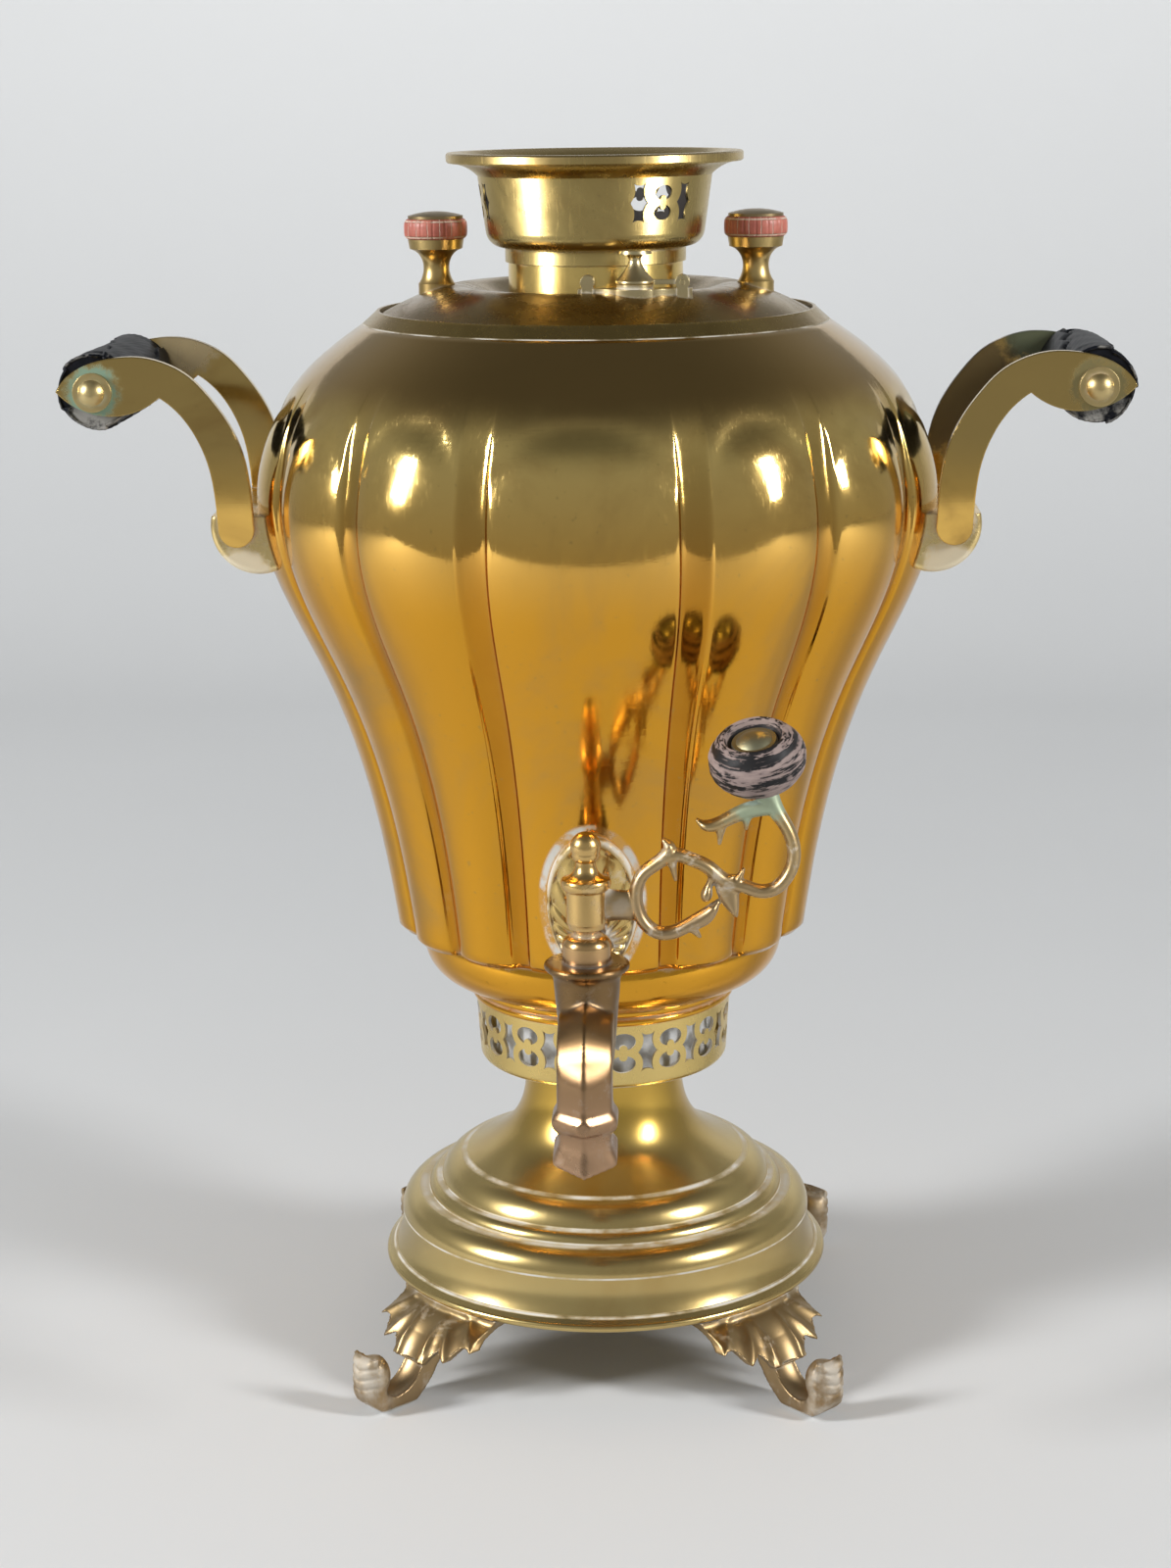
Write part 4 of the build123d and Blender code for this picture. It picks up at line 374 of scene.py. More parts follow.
mats = {
    # Body: the deeper orange below the height where the belly mirrors the floor's edge is a painted
    # reflection.
    "body": brass("body brass", BODY_LOW, BODY_HIGH, (0.31, 0.38), rough=0.085, grime=0.62,
                  # painted shade: darker brown on the shoulder above the lobes
                  waves=0.08, seams=(SEAM * MM,), shoulder_shade=(0.374, 0.394, (0.42, 0.275, 0.10)),
                  # painted shade: darker colours in the flute channels
                  ring=(0.0186, 0.0296, 0.10), channel_shade=((0.52, 0.22, 0.018), (0.50, 0.34, 0.10))),
    "bowl": brass("bowl brass", (0.76, 0.38, 0.04), BODY_LOW, (0.14, 0.17), rough=0.12, grime=0.30,
                  waves=0.08, seams=(0.1480, 0.1526, SEAM * MM)),
    "seat": brass("seat brass", SEAT, SEAT, (0.4, 0.42), rough=0.22, residue=0.3, waves=0.05,
                  seams=(0.4098,)),
    "gallery": brass("gallery brass", (0.72, 0.54, 0.20), (0.76, 0.56, 0.20), (0.12, 0.14),
                     rough=0.24, grime=0.3, rims=1.0, marks=0.4, waves=0.05, seams=(0.1187, 0.1447)),
    "base": brass("base brass", (0.58, 0.44, 0.185), (0.58, 0.37, 0.075), (0.07, 0.105),
                  rough=0.23, residue=0.12, reach=0.0018, dull=-0.06, marks=0.0,
                  seams=(0.0396, 0.0539, 0.0634, 0.0675, 0.0768)),
    "foot": brass("foot brass", (0.34, 0.235, 0.125), (0.36, 0.255, 0.12), (0.0, 0.04),
                  rough=0.36, grime=0.45, residue=0.85, reach=0.0030, marks=0.0, patches=0.25,
                  toes=(0.1150, 0.126)),
    "lid": brass("lid brass", (0.28, 0.19, 0.06), (0.30, 0.20, 0.065), (0.41, 0.425),
                 rough=0.20, grime=0.5, residue=0.35, reach=0.0025, dull=0.08, waves=0.05),
    "stem": brass("knob stem brass", (0.56, 0.40, 0.16), (0.56, 0.41, 0.17), (0.42, 0.44),
                  rough=0.30, grime=0.3, reach=0.002, marks=0.4),
    "cap": brass("cap brass", CAP, CAP, (0.42, 0.44), rough=0.32, grime=0.4, residue=0.3, reach=0.002),
    "crown": brass("crown brass", (0.56, 0.42, 0.16), (0.54, 0.40, 0.17), (0.4685, 0.472),
                   rough=0.24, residue=0.4, reach=0.002, soot=(0.0408, 0.1353, 0.4432, 0.4634),
                   dome=(0.35, 2.6)),
    "chimney": brass("chimney brass", (0.80, 0.56, 0.18), (0.82, 0.60, 0.20), (0.40, 0.44),
                     rough=0.17, grime=0.3, residue=0.3, reach=0.002, soot=(0.0, 0.0, 0.4, 0.9),
                     dome=(0.405, 7.0)),
    "tap": brass("tap bronze", (0.40, 0.25, 0.15), (0.22, 0.135, 0.06), (0.125, 0.185),
                 rough=0.26, grime=0.4, residue=0.6, reach=0.003, soft=0.0012, marks=0.1,
                 patches=0.12),
    "plug": brass("plug brass", (0.50, 0.31, 0.15), (0.66, 0.44, 0.17), (0.195, 0.215),
                  rough=0.22, grime=0.5, residue=0.6, reach=0.003, soft=0.0006, marks=0.2,
                  patches=0.12),
    "key": brass("key brass", (0.44, 0.31, 0.17), (0.50, 0.36, 0.17), (0.20, 0.26),
                 rough=0.34, grime=0.5, residue=0.85, reach=0.0045, marks=0.3, patches=0.5,
                 stains=(((0.060, TAP_Y * MM, 0.2575), 0.012, VERDIGRIS, 0.45),
                         ((0.012, TAP_Y * MM, 0.2160), 0.004, GREY_WHITE, 0.3))),
    "rivet": brass("rivet brass", RIVET, RIVET, (0.25, 0.28), rough=0.42, grime=0.5, reach=0.002),
    "shell": brass("shell brass", (0.62, 0.43, 0.16), (0.64, 0.45, 0.16), (0.17, 0.23),
                   rough=0.22, grime=0.3, residue=0.95, reach=0.006, patches=0.3,
                   ring=(0.0178, 0.0284, 0.16)),
    # Arms: the golden colour low is a painted reflection of the floor, the darker brown high a painted
    # shade.
    "arm": brass("arm brass", (0.86, 0.53, 0.13), (0.53, 0.37, 0.13), (0.335, 0.372),
                 rough=0.13, grime=0.85, residue=0.0, reach=0.002, soft=0.0008, marks=0.4,
                 dome=(0.362, 8.0),
                 stains=((ROD_END, 0.0098, DEEP_GREEN, 0.7),
                         ((0.185, -0.0432, 0.388), 0.0100, GREEN_BLACK, 0.6),
                         ((0.172, 0.0415, 0.401), 0.014, GREEN_BLACK, 0.85),
                         # painted shade: dark brown low on the rear arm, which faces the body
                         ((0.138, 0.0415, 0.378), 0.026, SHADE_BROWN, 0.85),
                         ((-0.164, 0.0415, 0.399), 0.012, GREY_WHITE, 0.3))),
    "saddle": brass("saddle brass", (0.86, 0.66, 0.30), (0.80, 0.60, 0.26), (0.32, 0.34),
                    rough=0.24, grime=0.3, residue=0.85, reach=0.007, soft=0.0010, marks=0.3,
                    # pale film, partly a painted highlight, low on each saddle
                    stains=(((-0.133, -0.0400, 0.318), 0.012, CREAM_FILM_AND_HIGHLIGHT, 0.6),
                            ((0.133, -0.0400, 0.318), 0.012, CREAM_FILM_AND_HIGHLIGHT, 0.6))),
    "nut": brass("nut brass", NUT, NUT, (0.38, 0.39), rough=0.34, grime=0.4, residue=0.3,
                 reach=0.002, soft=0.0005, stains=((ROD_END, 0.0060, VERDIGRIS, 0.12),)),
    "vent": brass("vent brass", (0.58, 0.47, 0.26), (0.60, 0.50, 0.28), (0.42, 0.44),
                  rough=0.26, grime=0.4, residue=0.75, reach=0.0016, soft=0.0004, marks=0.4),
    "zinc": simple("dull zinc", (0.72, 0.73, 0.74), (0.50, 0.51, 0.52), 90, 0.48, 0.5),
    "iron": simple("sooty iron", (0.05, 0.048, 0.045), (0.02, 0.02, 0.02), 200, 0.65, 1.0),
    "black": lacquer(),
    "knob": worn_knob(),
    "ring": scored_ring(),
}

# The material of each node, by how the node's name starts; the longest start that fits counts.
GROUPS = {
    "body": ("body_shell", "tap_nut"),
    "bowl": ("lower_bowl",),
    "seat": ("lid_seat_ring",),
    "gallery": ("gallery",),
    "base": ("base_rim", "base_skirt", "base_pedestal"),
    "foot": ("foot_",),
    "lid": ("lid_shell",),
    "stem": ("lid_knob_stem",),
    "cap": ("lid_knob_cap",),
    "crown": ("crown",),
    "chimney": ("fire_tube",),
    "tap": ("tap_body", "plug_"),
    "plug": ("tap_plug",),
    "key": ("tap_key",),
    "rivet": ("tap_knob_rivet",),
    "shell": ("tap_escutcheon",),
    "arm": ("handle_arm",),
    "saddle": ("handle_saddle",),
    "nut": ("handle_rod", "handle_washers", "handle_nuts"),
    "vent": ("vent_",),
    "zinc": ("gallery_liner",),
    "iron": ("grate",),
    "black": ("handle_grip",),
    "knob": ("tap_knob",),
    "ring": ("lid_knob_ring",),
}


def paint(thing, key):
    """Give an object one material."""
    thing.data.materials.clear()
    thing.data.materials.append(mats[key])


for name, thing in nodes.items():
    fits = [(len(start), key) for key, starts in GROUPS.items() for start in starts
            if name.startswith(start)]
    paint(thing, max(fits)[1])


# ---------------------------------------------------------------- mesh helpers
def made(name, verts, faces, key, body, *replaced, place=None):
    """A smooth mesh piece in millimetres, painted, riding on a body, in place of CAD nodes."""
    mesh = bpy.data.meshes.new(name)
    mesh.from_pydata([tuple(c * MM for c in v) for v in verts], [], faces)
    mesh.validate()
    mesh.shade_smooth()
    thing = bpy.data.objects.new(name, mesh)
    bpy.context.scene.collection.objects.link(thing)
    if place:
        thing.matrix_world = place
    paint(thing, key)
    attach(thing, body)
    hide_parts(*replaced)
    return thing


def weave(grid, round_rows=False, flip=False):
    """Points and quads of a grid whose columns, and if asked rows, close on themselves."""
    rows, cols = grid.shape[:2]
    faces = []
    for i in range(rows if round_rows else rows - 1):
        for j in range(cols):
            a, b = i * cols + j, i * cols + (j + 1) % cols
            c, d = (i + 1) % rows * cols + (j + 1) % cols, (i + 1) % rows * cols + j
            faces.append((a, d, c, b) if flip else (a, b, c, d))
    return grid.reshape(-1, 3), faces


def circle(steps):
    """Angles once round, without the last that meets the first."""
    return np.linspace(0, 2 * pi, steps + 1)[:-1]


def smooth_line(points, steps):
    """A natural cubic spline through the points, by distance along them."""
    p = np.array(points, float)
    t = np.concatenate([[0], np.cumsum(np.hypot(*np.diff(p, axis=0).T))])
    h = np.diff(t)
    n = len(p)
    system = np.eye(n)
    right = np.zeros((n, p.shape[1]))
    for i in range(1, n - 1):
        system[i, i - 1:i + 2] = h[i - 1], 2 * (h[i - 1] + h[i]), h[i]
        right[i] = 6 * ((p[i + 1] - p[i]) / h[i] - (p[i] - p[i - 1]) / h[i - 1])
    bend = np.linalg.solve(system, right)
    u = np.linspace(0, t[-1], steps)
    k = np.clip(np.searchsorted(t, u, "right") - 1, 0, n - 2)
    a, b, w = ((t[k + 1] - u) / h[k])[:, None], ((u - t[k]) / h[k])[:, None], h[k][:, None]
    return a * p[k] + b * p[k + 1] + ((a ** 3 - a) * bend[k] + (b ** 3 - b) * bend[k + 1]) * w * w / 6


def lathe(profile, sides, ripple):
    """A closed turned mesh from (radius, height) points; ripple shifts the radius by angle."""
    angles = circle(sides)
    rows = []
    for r, z in profile:
        radius = r + ripple(angles, r, z)
        rows.append(np.stack([radius * np.cos(angles), radius * np.sin(angles), np.full(sides, z)], 1))
    return weave(np.array(rows), round_rows=True)


def step_up(value, low, high):
    """A smooth step from 0 to 1."""
    share = np.clip((value - low) / (high - low), 0, 1)
    return share * share * (3 - 2 * share)


def gauss(value, middle, width):
    """A bell of height 1 about a middle."""
    return np.exp(-(((value - middle) / width) ** 2))


# ---------------------------------------------------------------- lobed body
# Heights here are above the seam. RISE is how far a lobe's middle stands proud of its edges,
# FLUTE how deep the channel between two lobes is below them.
BELLY, BODY_TALL = 171.0, 237.2
FOOT_R, BELLY_R, MOUTH_R, SEAM_R, SHEET = 81.0, 130.7, 88.4, 70.2, 1.6
RISE, FLUTE, WIDE_FLUTE, NARROW_FLUTE = 3.2, 2.1, 2.9, 2.3
INSET = 0.06                            # keeps the finer mesh inside the CAD's facets
FADE_FROM, FADE_TO = 184, 222           # where the lobes run out into the round shoulder
ARCH_TOP, ARCH_DROP, ARCH_DEEP, ARCH_TALL = 209, 18, 1.1, 4.2
FLUTE_STEPS = np.array([-0.985, -0.93, -0.86, -0.75, -0.5, 0, 0.5, 0.75, 0.86, 0.93, 0.985])
LOBE_STEPS = np.array([-0.992, -0.95, -0.85, -0.7, -0.5, -0.25, 0,
                       0.25, 0.5, 0.7, 0.85, 0.95, 0.992])


def front_half(height):
    """Degrees from the front lobe's middle to the middle of the flute beside it."""
    return 21.0 - 3.0 * np.clip(height / BELLY, 0, 1)


def flutes(height):
    """Middle and half width in degrees of the 14 flutes; those beside a wide lobe are wider."""
    front = front_half(height)
    right = [front + (180 - 2 * front) / 6 * i for i in range(7)]
    beside_wide = (0, 6, 7, 13)
    return [(middle, WIDE_FLUTE if i in beside_wide else NARROW_FLUTE)
            for i, middle in enumerate(right + [360 - middle for middle in right[::-1]])]


def bow(middle_r, edge_r, half, spread):
    """Radii of an arc through its middle and two edges, at angles from its middle."""
    c = (middle_r ** 2 - edge_r ** 2) / (2 * (middle_r - edge_r * cos(half)) + 1e-9)
    reach = np.sqrt((middle_r - c) ** 2 - (c * np.sin(spread)) ** 2)
    return c * np.cos(spread) + np.sign(middle_r - c) * reach


def lobed_row(r, height, depth):
    """Points round the body: r at the lobes' middles, depth from 0 for round to 1 for lobed."""
    edge = r - RISE * depth
    low = edge - FLUTE * depth if depth > 0.001 else edge + 0.001
    channel_r = low + (edge - low) * (0.38 * FLUTE_STEPS ** 2 + 0.62 * FLUTE_STEPS ** 8) - INSET
    swell = 0.40 * depth * (LOBE_STEPS ** 2 - LOBE_STEPS ** 6)
    arch = ARCH_TOP - ARCH_DROP * np.abs(LOBE_STEPS) ** 3
    dent = ARCH_DEEP * (1 - LOBE_STEPS ** 6) * gauss(height, arch, ARCH_TALL)
    places = flutes(height)
    row = []
    for (middle, half), (after, after_half) in zip(places, places[1:] + places[:1]):
        after += 360 if after < middle else 0
        lobe_middle = (middle + half + after - after_half) / 2
        lobe_half = (after - after_half - middle - half) / 2
        spread = np.radians(LOBE_STEPS * lobe_half)
        lobe_r = bow(r, edge, radians(lobe_half), spread) - INSET + swell - dent
        for angle, radius in ((radians(middle) + np.radians(FLUTE_STEPS * half), channel_r),
                              (radians(lobe_middle) + spread, lobe_r)):
            row.append(np.stack([radius * np.sin(angle), -radius * np.cos(angle),
                                 np.full(len(angle), SEAM + height)], 1))
    return np.concatenate(row)


def body_side():
    """The body's outline as (radius, height), from foot to mouth."""
    grow, close, over = BELLY_R - FOOT_R, BELLY_R - MOUTH_R, BODY_TALL - BELLY
    return smooth_line([
        (FOOT_R, 3.6), (FOOT_R + grow * 0.10, BELLY * 0.20), (FOOT_R + grow * 0.29, BELLY * 0.43),
        (FOOT_R + grow * 0.55, BELLY * 0.63), (FOOT_R + grow * 0.84, BELLY * 0.81),
        (BELLY_R, BELLY + 1), (BELLY_R - close * 0.12, BELLY + over * 0.39),
        (BELLY_R - close * 0.42, BELLY + over * 0.70), (MOUTH_R, BODY_TALL)], 110)


SIDE_LINE = body_side()


def body_lobes():
    """The closed sheet from the seam up, over the mouth and down inside, its flute channels marked for
    painted shade.
    """
    outside = [(SEAM_R, 0, 0.35), (FOOT_R - 2.6, 1.08, 0.9), (FOOT_R - 0.5, 3.1, 0.98)]
    wall = [(r, z, 1 - step_up(z, FADE_FROM, FADE_TO)) for r, z in SIDE_LINE]
    inside = [(MOUTH_R - 0.8, BODY_TALL, 0)]
    inside += [(r - SHEET, z, depth) for r, z, depth in wall[::-3] if z > 4.4]
    inside += [(FOOT_R - 4.4, 2.8, 0.9), (SEAM_R - 3.3, 2.7, 0.3)]
    outside += wall
    rows = np.array([lobed_row(*row) for row in outside + inside])
    lobes = made("body_lobes", *weave(rows, round_rows=True), "body", "frame", "body_shell")
    # Share of painted shade across each flute channel, times the lobes' depth row by row.
    across = np.tile(np.concatenate([1 - np.abs(FLUTE_STEPS) ** 8, np.zeros(len(LOBE_STEPS))]), 14)
    along = np.array([depth for _, _, depth in outside] + [0] * len(inside))
    channel_shade = lobes.data.attributes.new("channel_shade", "FLOAT", "POINT")
    channel_shade.data.foreach_set("value", np.outer(along, across).ravel())


body_lobes()


# ---------------------------------------------------------------- grips
GRIP_HALF, GRIP_R, GRIP_BORE, GRIP_ROUND = 39.3, 14.76, 3.15, 1.1


def grip(sign, body, node):
    """A black wooden roller, its lacquer and layers chipped back in steps, with a split."""
    angles = circle(180)

    def ring(radius, y):
        return np.stack([radius * np.cos(angles), y * np.ones(len(angles)),
                         radius * np.sin(angles)], 1)

    end_steps = np.array([0, 0.5, 1.4])
    rows = []
    for y in np.concatenate([end_steps - GRIP_HALF, np.linspace(3 - GRIP_HALF, GRIP_HALF - 3, 60),
                             GRIP_HALF - end_steps[::-1]]):
        to_end = max(GRIP_ROUND - (GRIP_HALF - abs(y)), 0)
        rounded = GRIP_ROUND - sqrt(max(GRIP_ROUND ** 2 - to_end ** 2, 0))
        turn = angles * sign + 0.010 * y + 0.08 * sin(y * 0.31 + sign)
        step = (turn * 2.5 / pi + 0.3) % 1
        chipped = (1.5 if abs(y) > 30 else 1.0) * np.clip((step - 0.10) * 1.15, 0, 1)
        from_split = np.abs((turn - 2.15 + pi) % (2 * pi) - pi)
        split = 2.6 * np.clip(1 - from_split / 0.11, 0, 1) * (1 if abs(y) > 22 else 0.35)
        grain = 0.10 * np.sin(angles * 37 + y * 0.7) * np.sin(y * 0.23)
        rows.append(ring(GRIP_R - rounded - chipped - split + grain, y))
    for face in (-1, 1):
        cap = []
        for share in (0.93, 0.86, 0.8, 0.72, 0.66, 0.58, 0.52, 0.44, 0.38, 0.30):
            spiral = (share * 5.5 + angles * sign / (2 * pi)) % 1
            groove = 1.5 * np.abs(spiral - 0.5) * (1 - share * 0.3)
            cap.append(ring(share * GRIP_R, face * (GRIP_HALF - 0.15 - groove)))
        cap.append(ring(GRIP_BORE, face * (GRIP_HALF - 1.8)))
        rows = rows + cap if face > 0 else cap[::-1] + rows
    grid = np.array(rows) + np.array([sign * GRIP_X, 0, GRIP_Z])
    made("grip_" + body, *weave(grid, round_rows=True, flip=True), "black", body, node)


grip(-1, "grip_left", "handle_grip_left")
grip(1, "grip_right", "handle_grip_right")

# ---------------------------------------------------------------- cast scroll key
# Strokes of (x, z, width) stations in the key's plane, whose middle stands at KEY_AT.
KEY_AT = np.array([0, TAP_Y, 195.5])
STROKES = [
    [(6.4, 20.8, 10.4), (12, 20.8, 9.2), (18.8, 20.8, 9.6)],
    [(27.0, 45.0, 1.2), (29.4, 41.6, 3.8), (25.6, 36.6, 4.2), (19.8, 31.8, 4.0),
     (17.6, 25.2, 4.0), (18.0, 20.0, 4.0), (21.0, 13.8, 4.0), (25.8, 10.7, 4.0),
     (31.4, 11.3, 4.0), (36.4, 13.8, 4.2), (41.6, 16.6, 4.8), (46.6, 22.6, 1.4)],
    [(27.6, 38.0, 4.0), (31.4, 39.2, 4.0), (37.0, 37.6, 4.0), (42.8, 34.8, 4.2),
     (47.2, 30.9, 4.4), (51.4, 28.8, 4.2), (55.4, 27.8, 4.0), (60.0, 26.2, 4.0),
     (65.6, 26.7, 4.0), (70.0, 30.6, 4.0), (72.6, 36.4, 4.0), (72.6, 43.0, 4.0),
     (70.2, 49.4, 4.2), (66.4, 55.6, 5.0), (63.2, 61.6, 7.0)],
    [(65.6, 56.6, 5.2), (62.8, 56.4, 5.0), (56.8, 55.2, 4.8), (51.2, 52.9, 4.2),
     (46.2, 50.4, 3.8), (42.2, 49.8, 3.2), (38.7, 52.3, 0.8)],
    [(48.6, 31.4, 6.4), (50.2, 24.4, 6.0), (53.0, 16.6, 1.0)],
    [(45.4, 33.4, 3.4), (42.9, 27.2, 2.6), (42.0, 23.8, 3.2), (41.4, 22.6, 1.8)],
    [(36.6, 13.6, 3.6), (40.2, 9.0, 1.0)],
    [(47.4, 50.4, 3.6), (46.9, 42.8, 1.0)],
    [(56.4, 54.6, 3.8), (56.1, 48.2, 1.0)],
    [(29.4, 40.6, 4.0), (31.6, 29.6, 1.0)],
    [(52.6, 28.6, 3.6), (55.5, 34.4, 1.0)],
    [(62.2, 61.0, 8.0), (61.9, 65.6, 7.6)],
]
SCROLL_THICK, SPUR_THICK, TUBE_SIDES = 7.2, 5.6, 14


def tube(points, thick):
    """A closed rod of oval section along the stations of one stroke."""
    line = smooth_line(points, 10 * len(points))
    path, width = line[:, :2], np.clip(line[:, 2], 0.5, None)
    along = np.gradient(path, axis=0)
    along /= np.linalg.norm(along, axis=1)[:, None]
    sideways = np.stack([-along[:, 1], along[:, 0]], 1)
    width = np.where(width > 2.5, width * 1.22, width * 1.1)
    deep = np.minimum(thick, width * 1.5 + 1.2)
    a = circle(TUBE_SIDES)
    rows = []
    for q, s, w, d in zip(path, sideways, width, deep):
        x, z = (q[:, None] + s[:, None] * w / 2 * np.cos(a))
        rows.append(np.stack([x, d / 2 * np.sin(a), z], 1))
    verts, faces = weave(np.array(rows))
    last = len(verts) - TUBE_SIDES
    ends = [tuple(range(TUBE_SIDES))[::-1], tuple(range(last, last + TUBE_SIDES))]
    return verts, faces + ends


def scroll_key():
    """All strokes, fused by a remesh and smoothed as a casting is."""
    verts, faces = [], []
    for stroke in STROKES:
        more, quads = tube(stroke, SCROLL_THICK if len(stroke) > 3 else SPUR_THICK)
        faces += [tuple(i + len(verts) for i in quad) for quad in quads]
        verts += list(more + KEY_AT)
    key = made("key_cast", verts, faces, "key", "tap_handle", "tap_key")
    fused = key.modifiers.new("fused", "REMESH")
    fused.mode, fused.voxel_size, fused.use_smooth_shade = "VOXEL", 0.00045, True
    soft = key.modifiers.new("soft", "SMOOTH")
    soft.factor, soft.iterations = 0.5, 4


scroll_key()

# ---------------------------------------------------------------- small turned pieces
RING_LINE = [(2.6, 440.7), (10.6, 440.7), (11.3, 441.1), (11.8, 441.9), (11.95, 443.2),
             (11.95, 445.4), (11.8, 446.7), (11.3, 447.6), (10.6, 448.1), (2.6, 448.1)]
for ring_side, ring_x in (("left", -KNOB_X), ("right", KNOB_X)):
    ring_verts, ring_faces = lathe(
        RING_LINE, 192, lambda a, r, z: -0.32 * (np.abs(np.sin(a * 8)) < 0.16) * (r > 11))
    made("scored_ring_" + ring_side, ring_verts + np.array([ring_x, 0, 0]), ring_faces, "ring",
         "lid", "lid_knob_ring_" + ring_side)

KNOB_PLACE = (Matrix.Translation((60.1 * MM, TAP_Y * MM, 269.1 * MM))
              @ Matrix.Rotation(radians(20), 4, "X") @ Matrix.Rotation(radians(-9), 4, "Y"))
KNOB_BORE, KNOB_FLOOR = 2.55, 7.0
KNOB_SWELL = [(7.2, -10.2), (11.6, -8.9), (14.8, -6.1), (16.8, -2.2), (17.1, 1.0), (16.6, 4.0),
              (15.1, 6.3), (13.0, 8.9), (11.4, 10.1)]
KNOB_LINE = [(KNOB_BORE, -10.1), *smooth_line(KNOB_SWELL, 70), (10.6, 10.1), (9.9, 9.3), (9.3, 7.1),
             (KNOB_BORE, KNOB_FLOOR)]
made("turned_key_knob",
     *lathe(KNOB_LINE, 128, lambda a, r, z: 0.10 * np.sin(3 * a + z) + 0.05 * np.sin(11 * a - 2 * z)),
     "knob", "tap_handle", "tap_knob", place=KNOB_PLACE)

# ---------------------------------------------------------------- scallop shell behind the tap
SHELL_MIDDLE, SHELL_SIZE = np.array([0.0, SHELL_Z]), np.array([16.9, 27.6])
SHELL_ROOT = np.array([0.0, 188.0])     # the ribs spread from here
# Share of the way from root to rim, and how far the shell stands off the body there.
SHELL_ROWS = ((0.30, 3.6), (0.40, 4.0), (0.5, 4.2), (0.6, 4.3), (0.7, 4.2), (0.78, 3.9),
              (0.85, 3.2), (0.89, 2.7), (0.92, 3.2), (0.95, 3.3), (0.98, 2.6), (1.0, 1.2),
              (1.0, -0.4), (0.30, -0.4))
SCREW_X, SCREW_Z = 12.6, 184.0


def lobe_front(x, z):
    """How far forward the front lobe stands at a height and beside its middle."""
    height = z - SEAM
    r = np.interp(height, SIDE_LINE[:, 1], SIDE_LINE[:, 0])
    edge, half = r - RISE, np.radians(front_half(height) - 2.5)
    c = (r ** 2 - edge ** 2) / (2 * (r - edge * np.cos(half)))
    return -(c + np.sqrt((r - c) ** 2 - x ** 2))


def scallop_shell():
    """A shell with ribs, a sunk line inside its rolled rim and two domes, closed at the back."""
    turns = circle(288)
    ways = np.stack([np.cos(turns), np.sin(turns)], 1)
    lean, slant = (SHELL_ROOT - SHELL_MIDDLE) / SHELL_SIZE, ways / SHELL_SIZE
    a, b, c = (slant ** 2).sum(1), (slant * lean).sum(1), (lean ** 2).sum() - 1
    to_rim = (-b + np.sqrt(b ** 2 - a * c)) / a
    ribs = 0.9 * np.abs(np.sin(turns * 11)) - 0.7
    rows = []
    for share, thick in SHELL_ROWS:
        x, z = (SHELL_ROOT + ways * (to_rim * share)[:, None]).T
        lift = thick + ribs * np.clip((share - 0.25) * 4, 0, 1) * (0.3 < share < 0.9)
        for screw_x in (-SCREW_X, SCREW_X):
            lift = lift + 1.6 * gauss(x, screw_x, 3) * gauss(z, SCREW_Z, 3) * (share < 1)
        rows.append(np.stack([x, lobe_front(x, z) - lift, z], 1))
    made("scallop_shell", *weave(np.array(rows), round_rows=True), "shell", "frame", "tap_escutcheon")


scallop_shell()


# ---------------------------------------------------------------- tap body
def finely(data, voxel, rounds):
    """A CAD mesh remeshed evenly: its faces, then points in mm and normals for each smoothing."""
    points, normals = [], []
    for iterations in rounds:
        blank = bpy.data.objects.new("blank", data)
        bpy.context.scene.collection.objects.link(blank)
        remesh = blank.modifiers.new("fine", "REMESH")
        remesh.mode, remesh.voxel_size = "VOXEL", voxel
        smooth = blank.modifiers.new("smooth", "SMOOTH")
        smooth.factor, smooth.iterations = 0.5, iterations
        finished = blank.evaluated_get(bpy.context.evaluated_depsgraph_get())
        mesh = bpy.data.meshes.new_from_object(finished)
        bpy.data.objects.remove(blank)
        for kind, values, store in (("co", mesh.vertices, points),
                                    ("vector", mesh.vertex_normals, normals)):
            flat = np.zeros(len(mesh.vertices) * 3)
            values.foreach_get(kind, flat)
            store.append(flat.reshape(-1, 3))
    return [tuple(face.vertices) for face in mesh.polygons], [p / MM for p in points], normals


def cast_tap():
    """The CAD tap, its spout smoothed to a casting, with the front of the spout filled out."""
    spout_front, spout_half = -167.8, 10.5
    faces, (crisp, rounded), (_, normals) = finely(nodes["tap_body"].data.copy(), 0.0006, (4, 34))
    spout = step_up(-crisp[:, 2], -168, -160) * step_up(-crisp[:, 1], 120, 128)
    p = crisp + (rounded - crisp) * spout[:, None]
    front = np.clip(-normals[:, 1] * 2 - 0.8, 0, 1) * spout
    p[:, 1] -= 1.3 * front * np.clip(1 - (p[:, 0] / spout_half) ** 2, 0, 1)
    p[:, 1] = np.maximum(p[:, 1], spout_front)
    made("cast_tap", p, faces, "tap", "frame", "tap_body")


cast_tap()

# ---------------------------------------------------------------- feet
TOE, FAN_TOP = 110.5, 46.0              # toe's distance from the axis; height the leaves fan from
LEAF_TIPS = np.array([16.2, 34.4, 51.5])  # in degrees from the foot's middle
CURL_NOTCHES = (11.5, 15.5, 19.5)       # heights


def turned_by(points, degrees_round):
    """Points or normals turned about the samovar's axis."""
    a = radians(degrees_round)
    x, y = points[:, 0], points[:, 1]
    return np.stack([x * cos(a) - y * sin(a), x * sin(a) + y * cos(a), points[:, 2]], 1)


def with_bulb(data):
    """A foot's mesh with an egg-shaped bulb put in its toe."""
    bulb = bmesh.new()
    bulb.from_mesh(data)
    place = Matrix.Rotation(pi / 4, 4, "Z") @ Matrix.Translation((0, -(TOE + 12.2) * MM, 15.6 * MM))
    bmesh.ops.create_icosphere(bulb, subdivisions=4, radius=MM,
                               matrix=place @ Matrix.Diagonal((7.9, 7.2, 9.1, 1)))
    bulb.to_mesh(data)
    bulb.free()
    return data


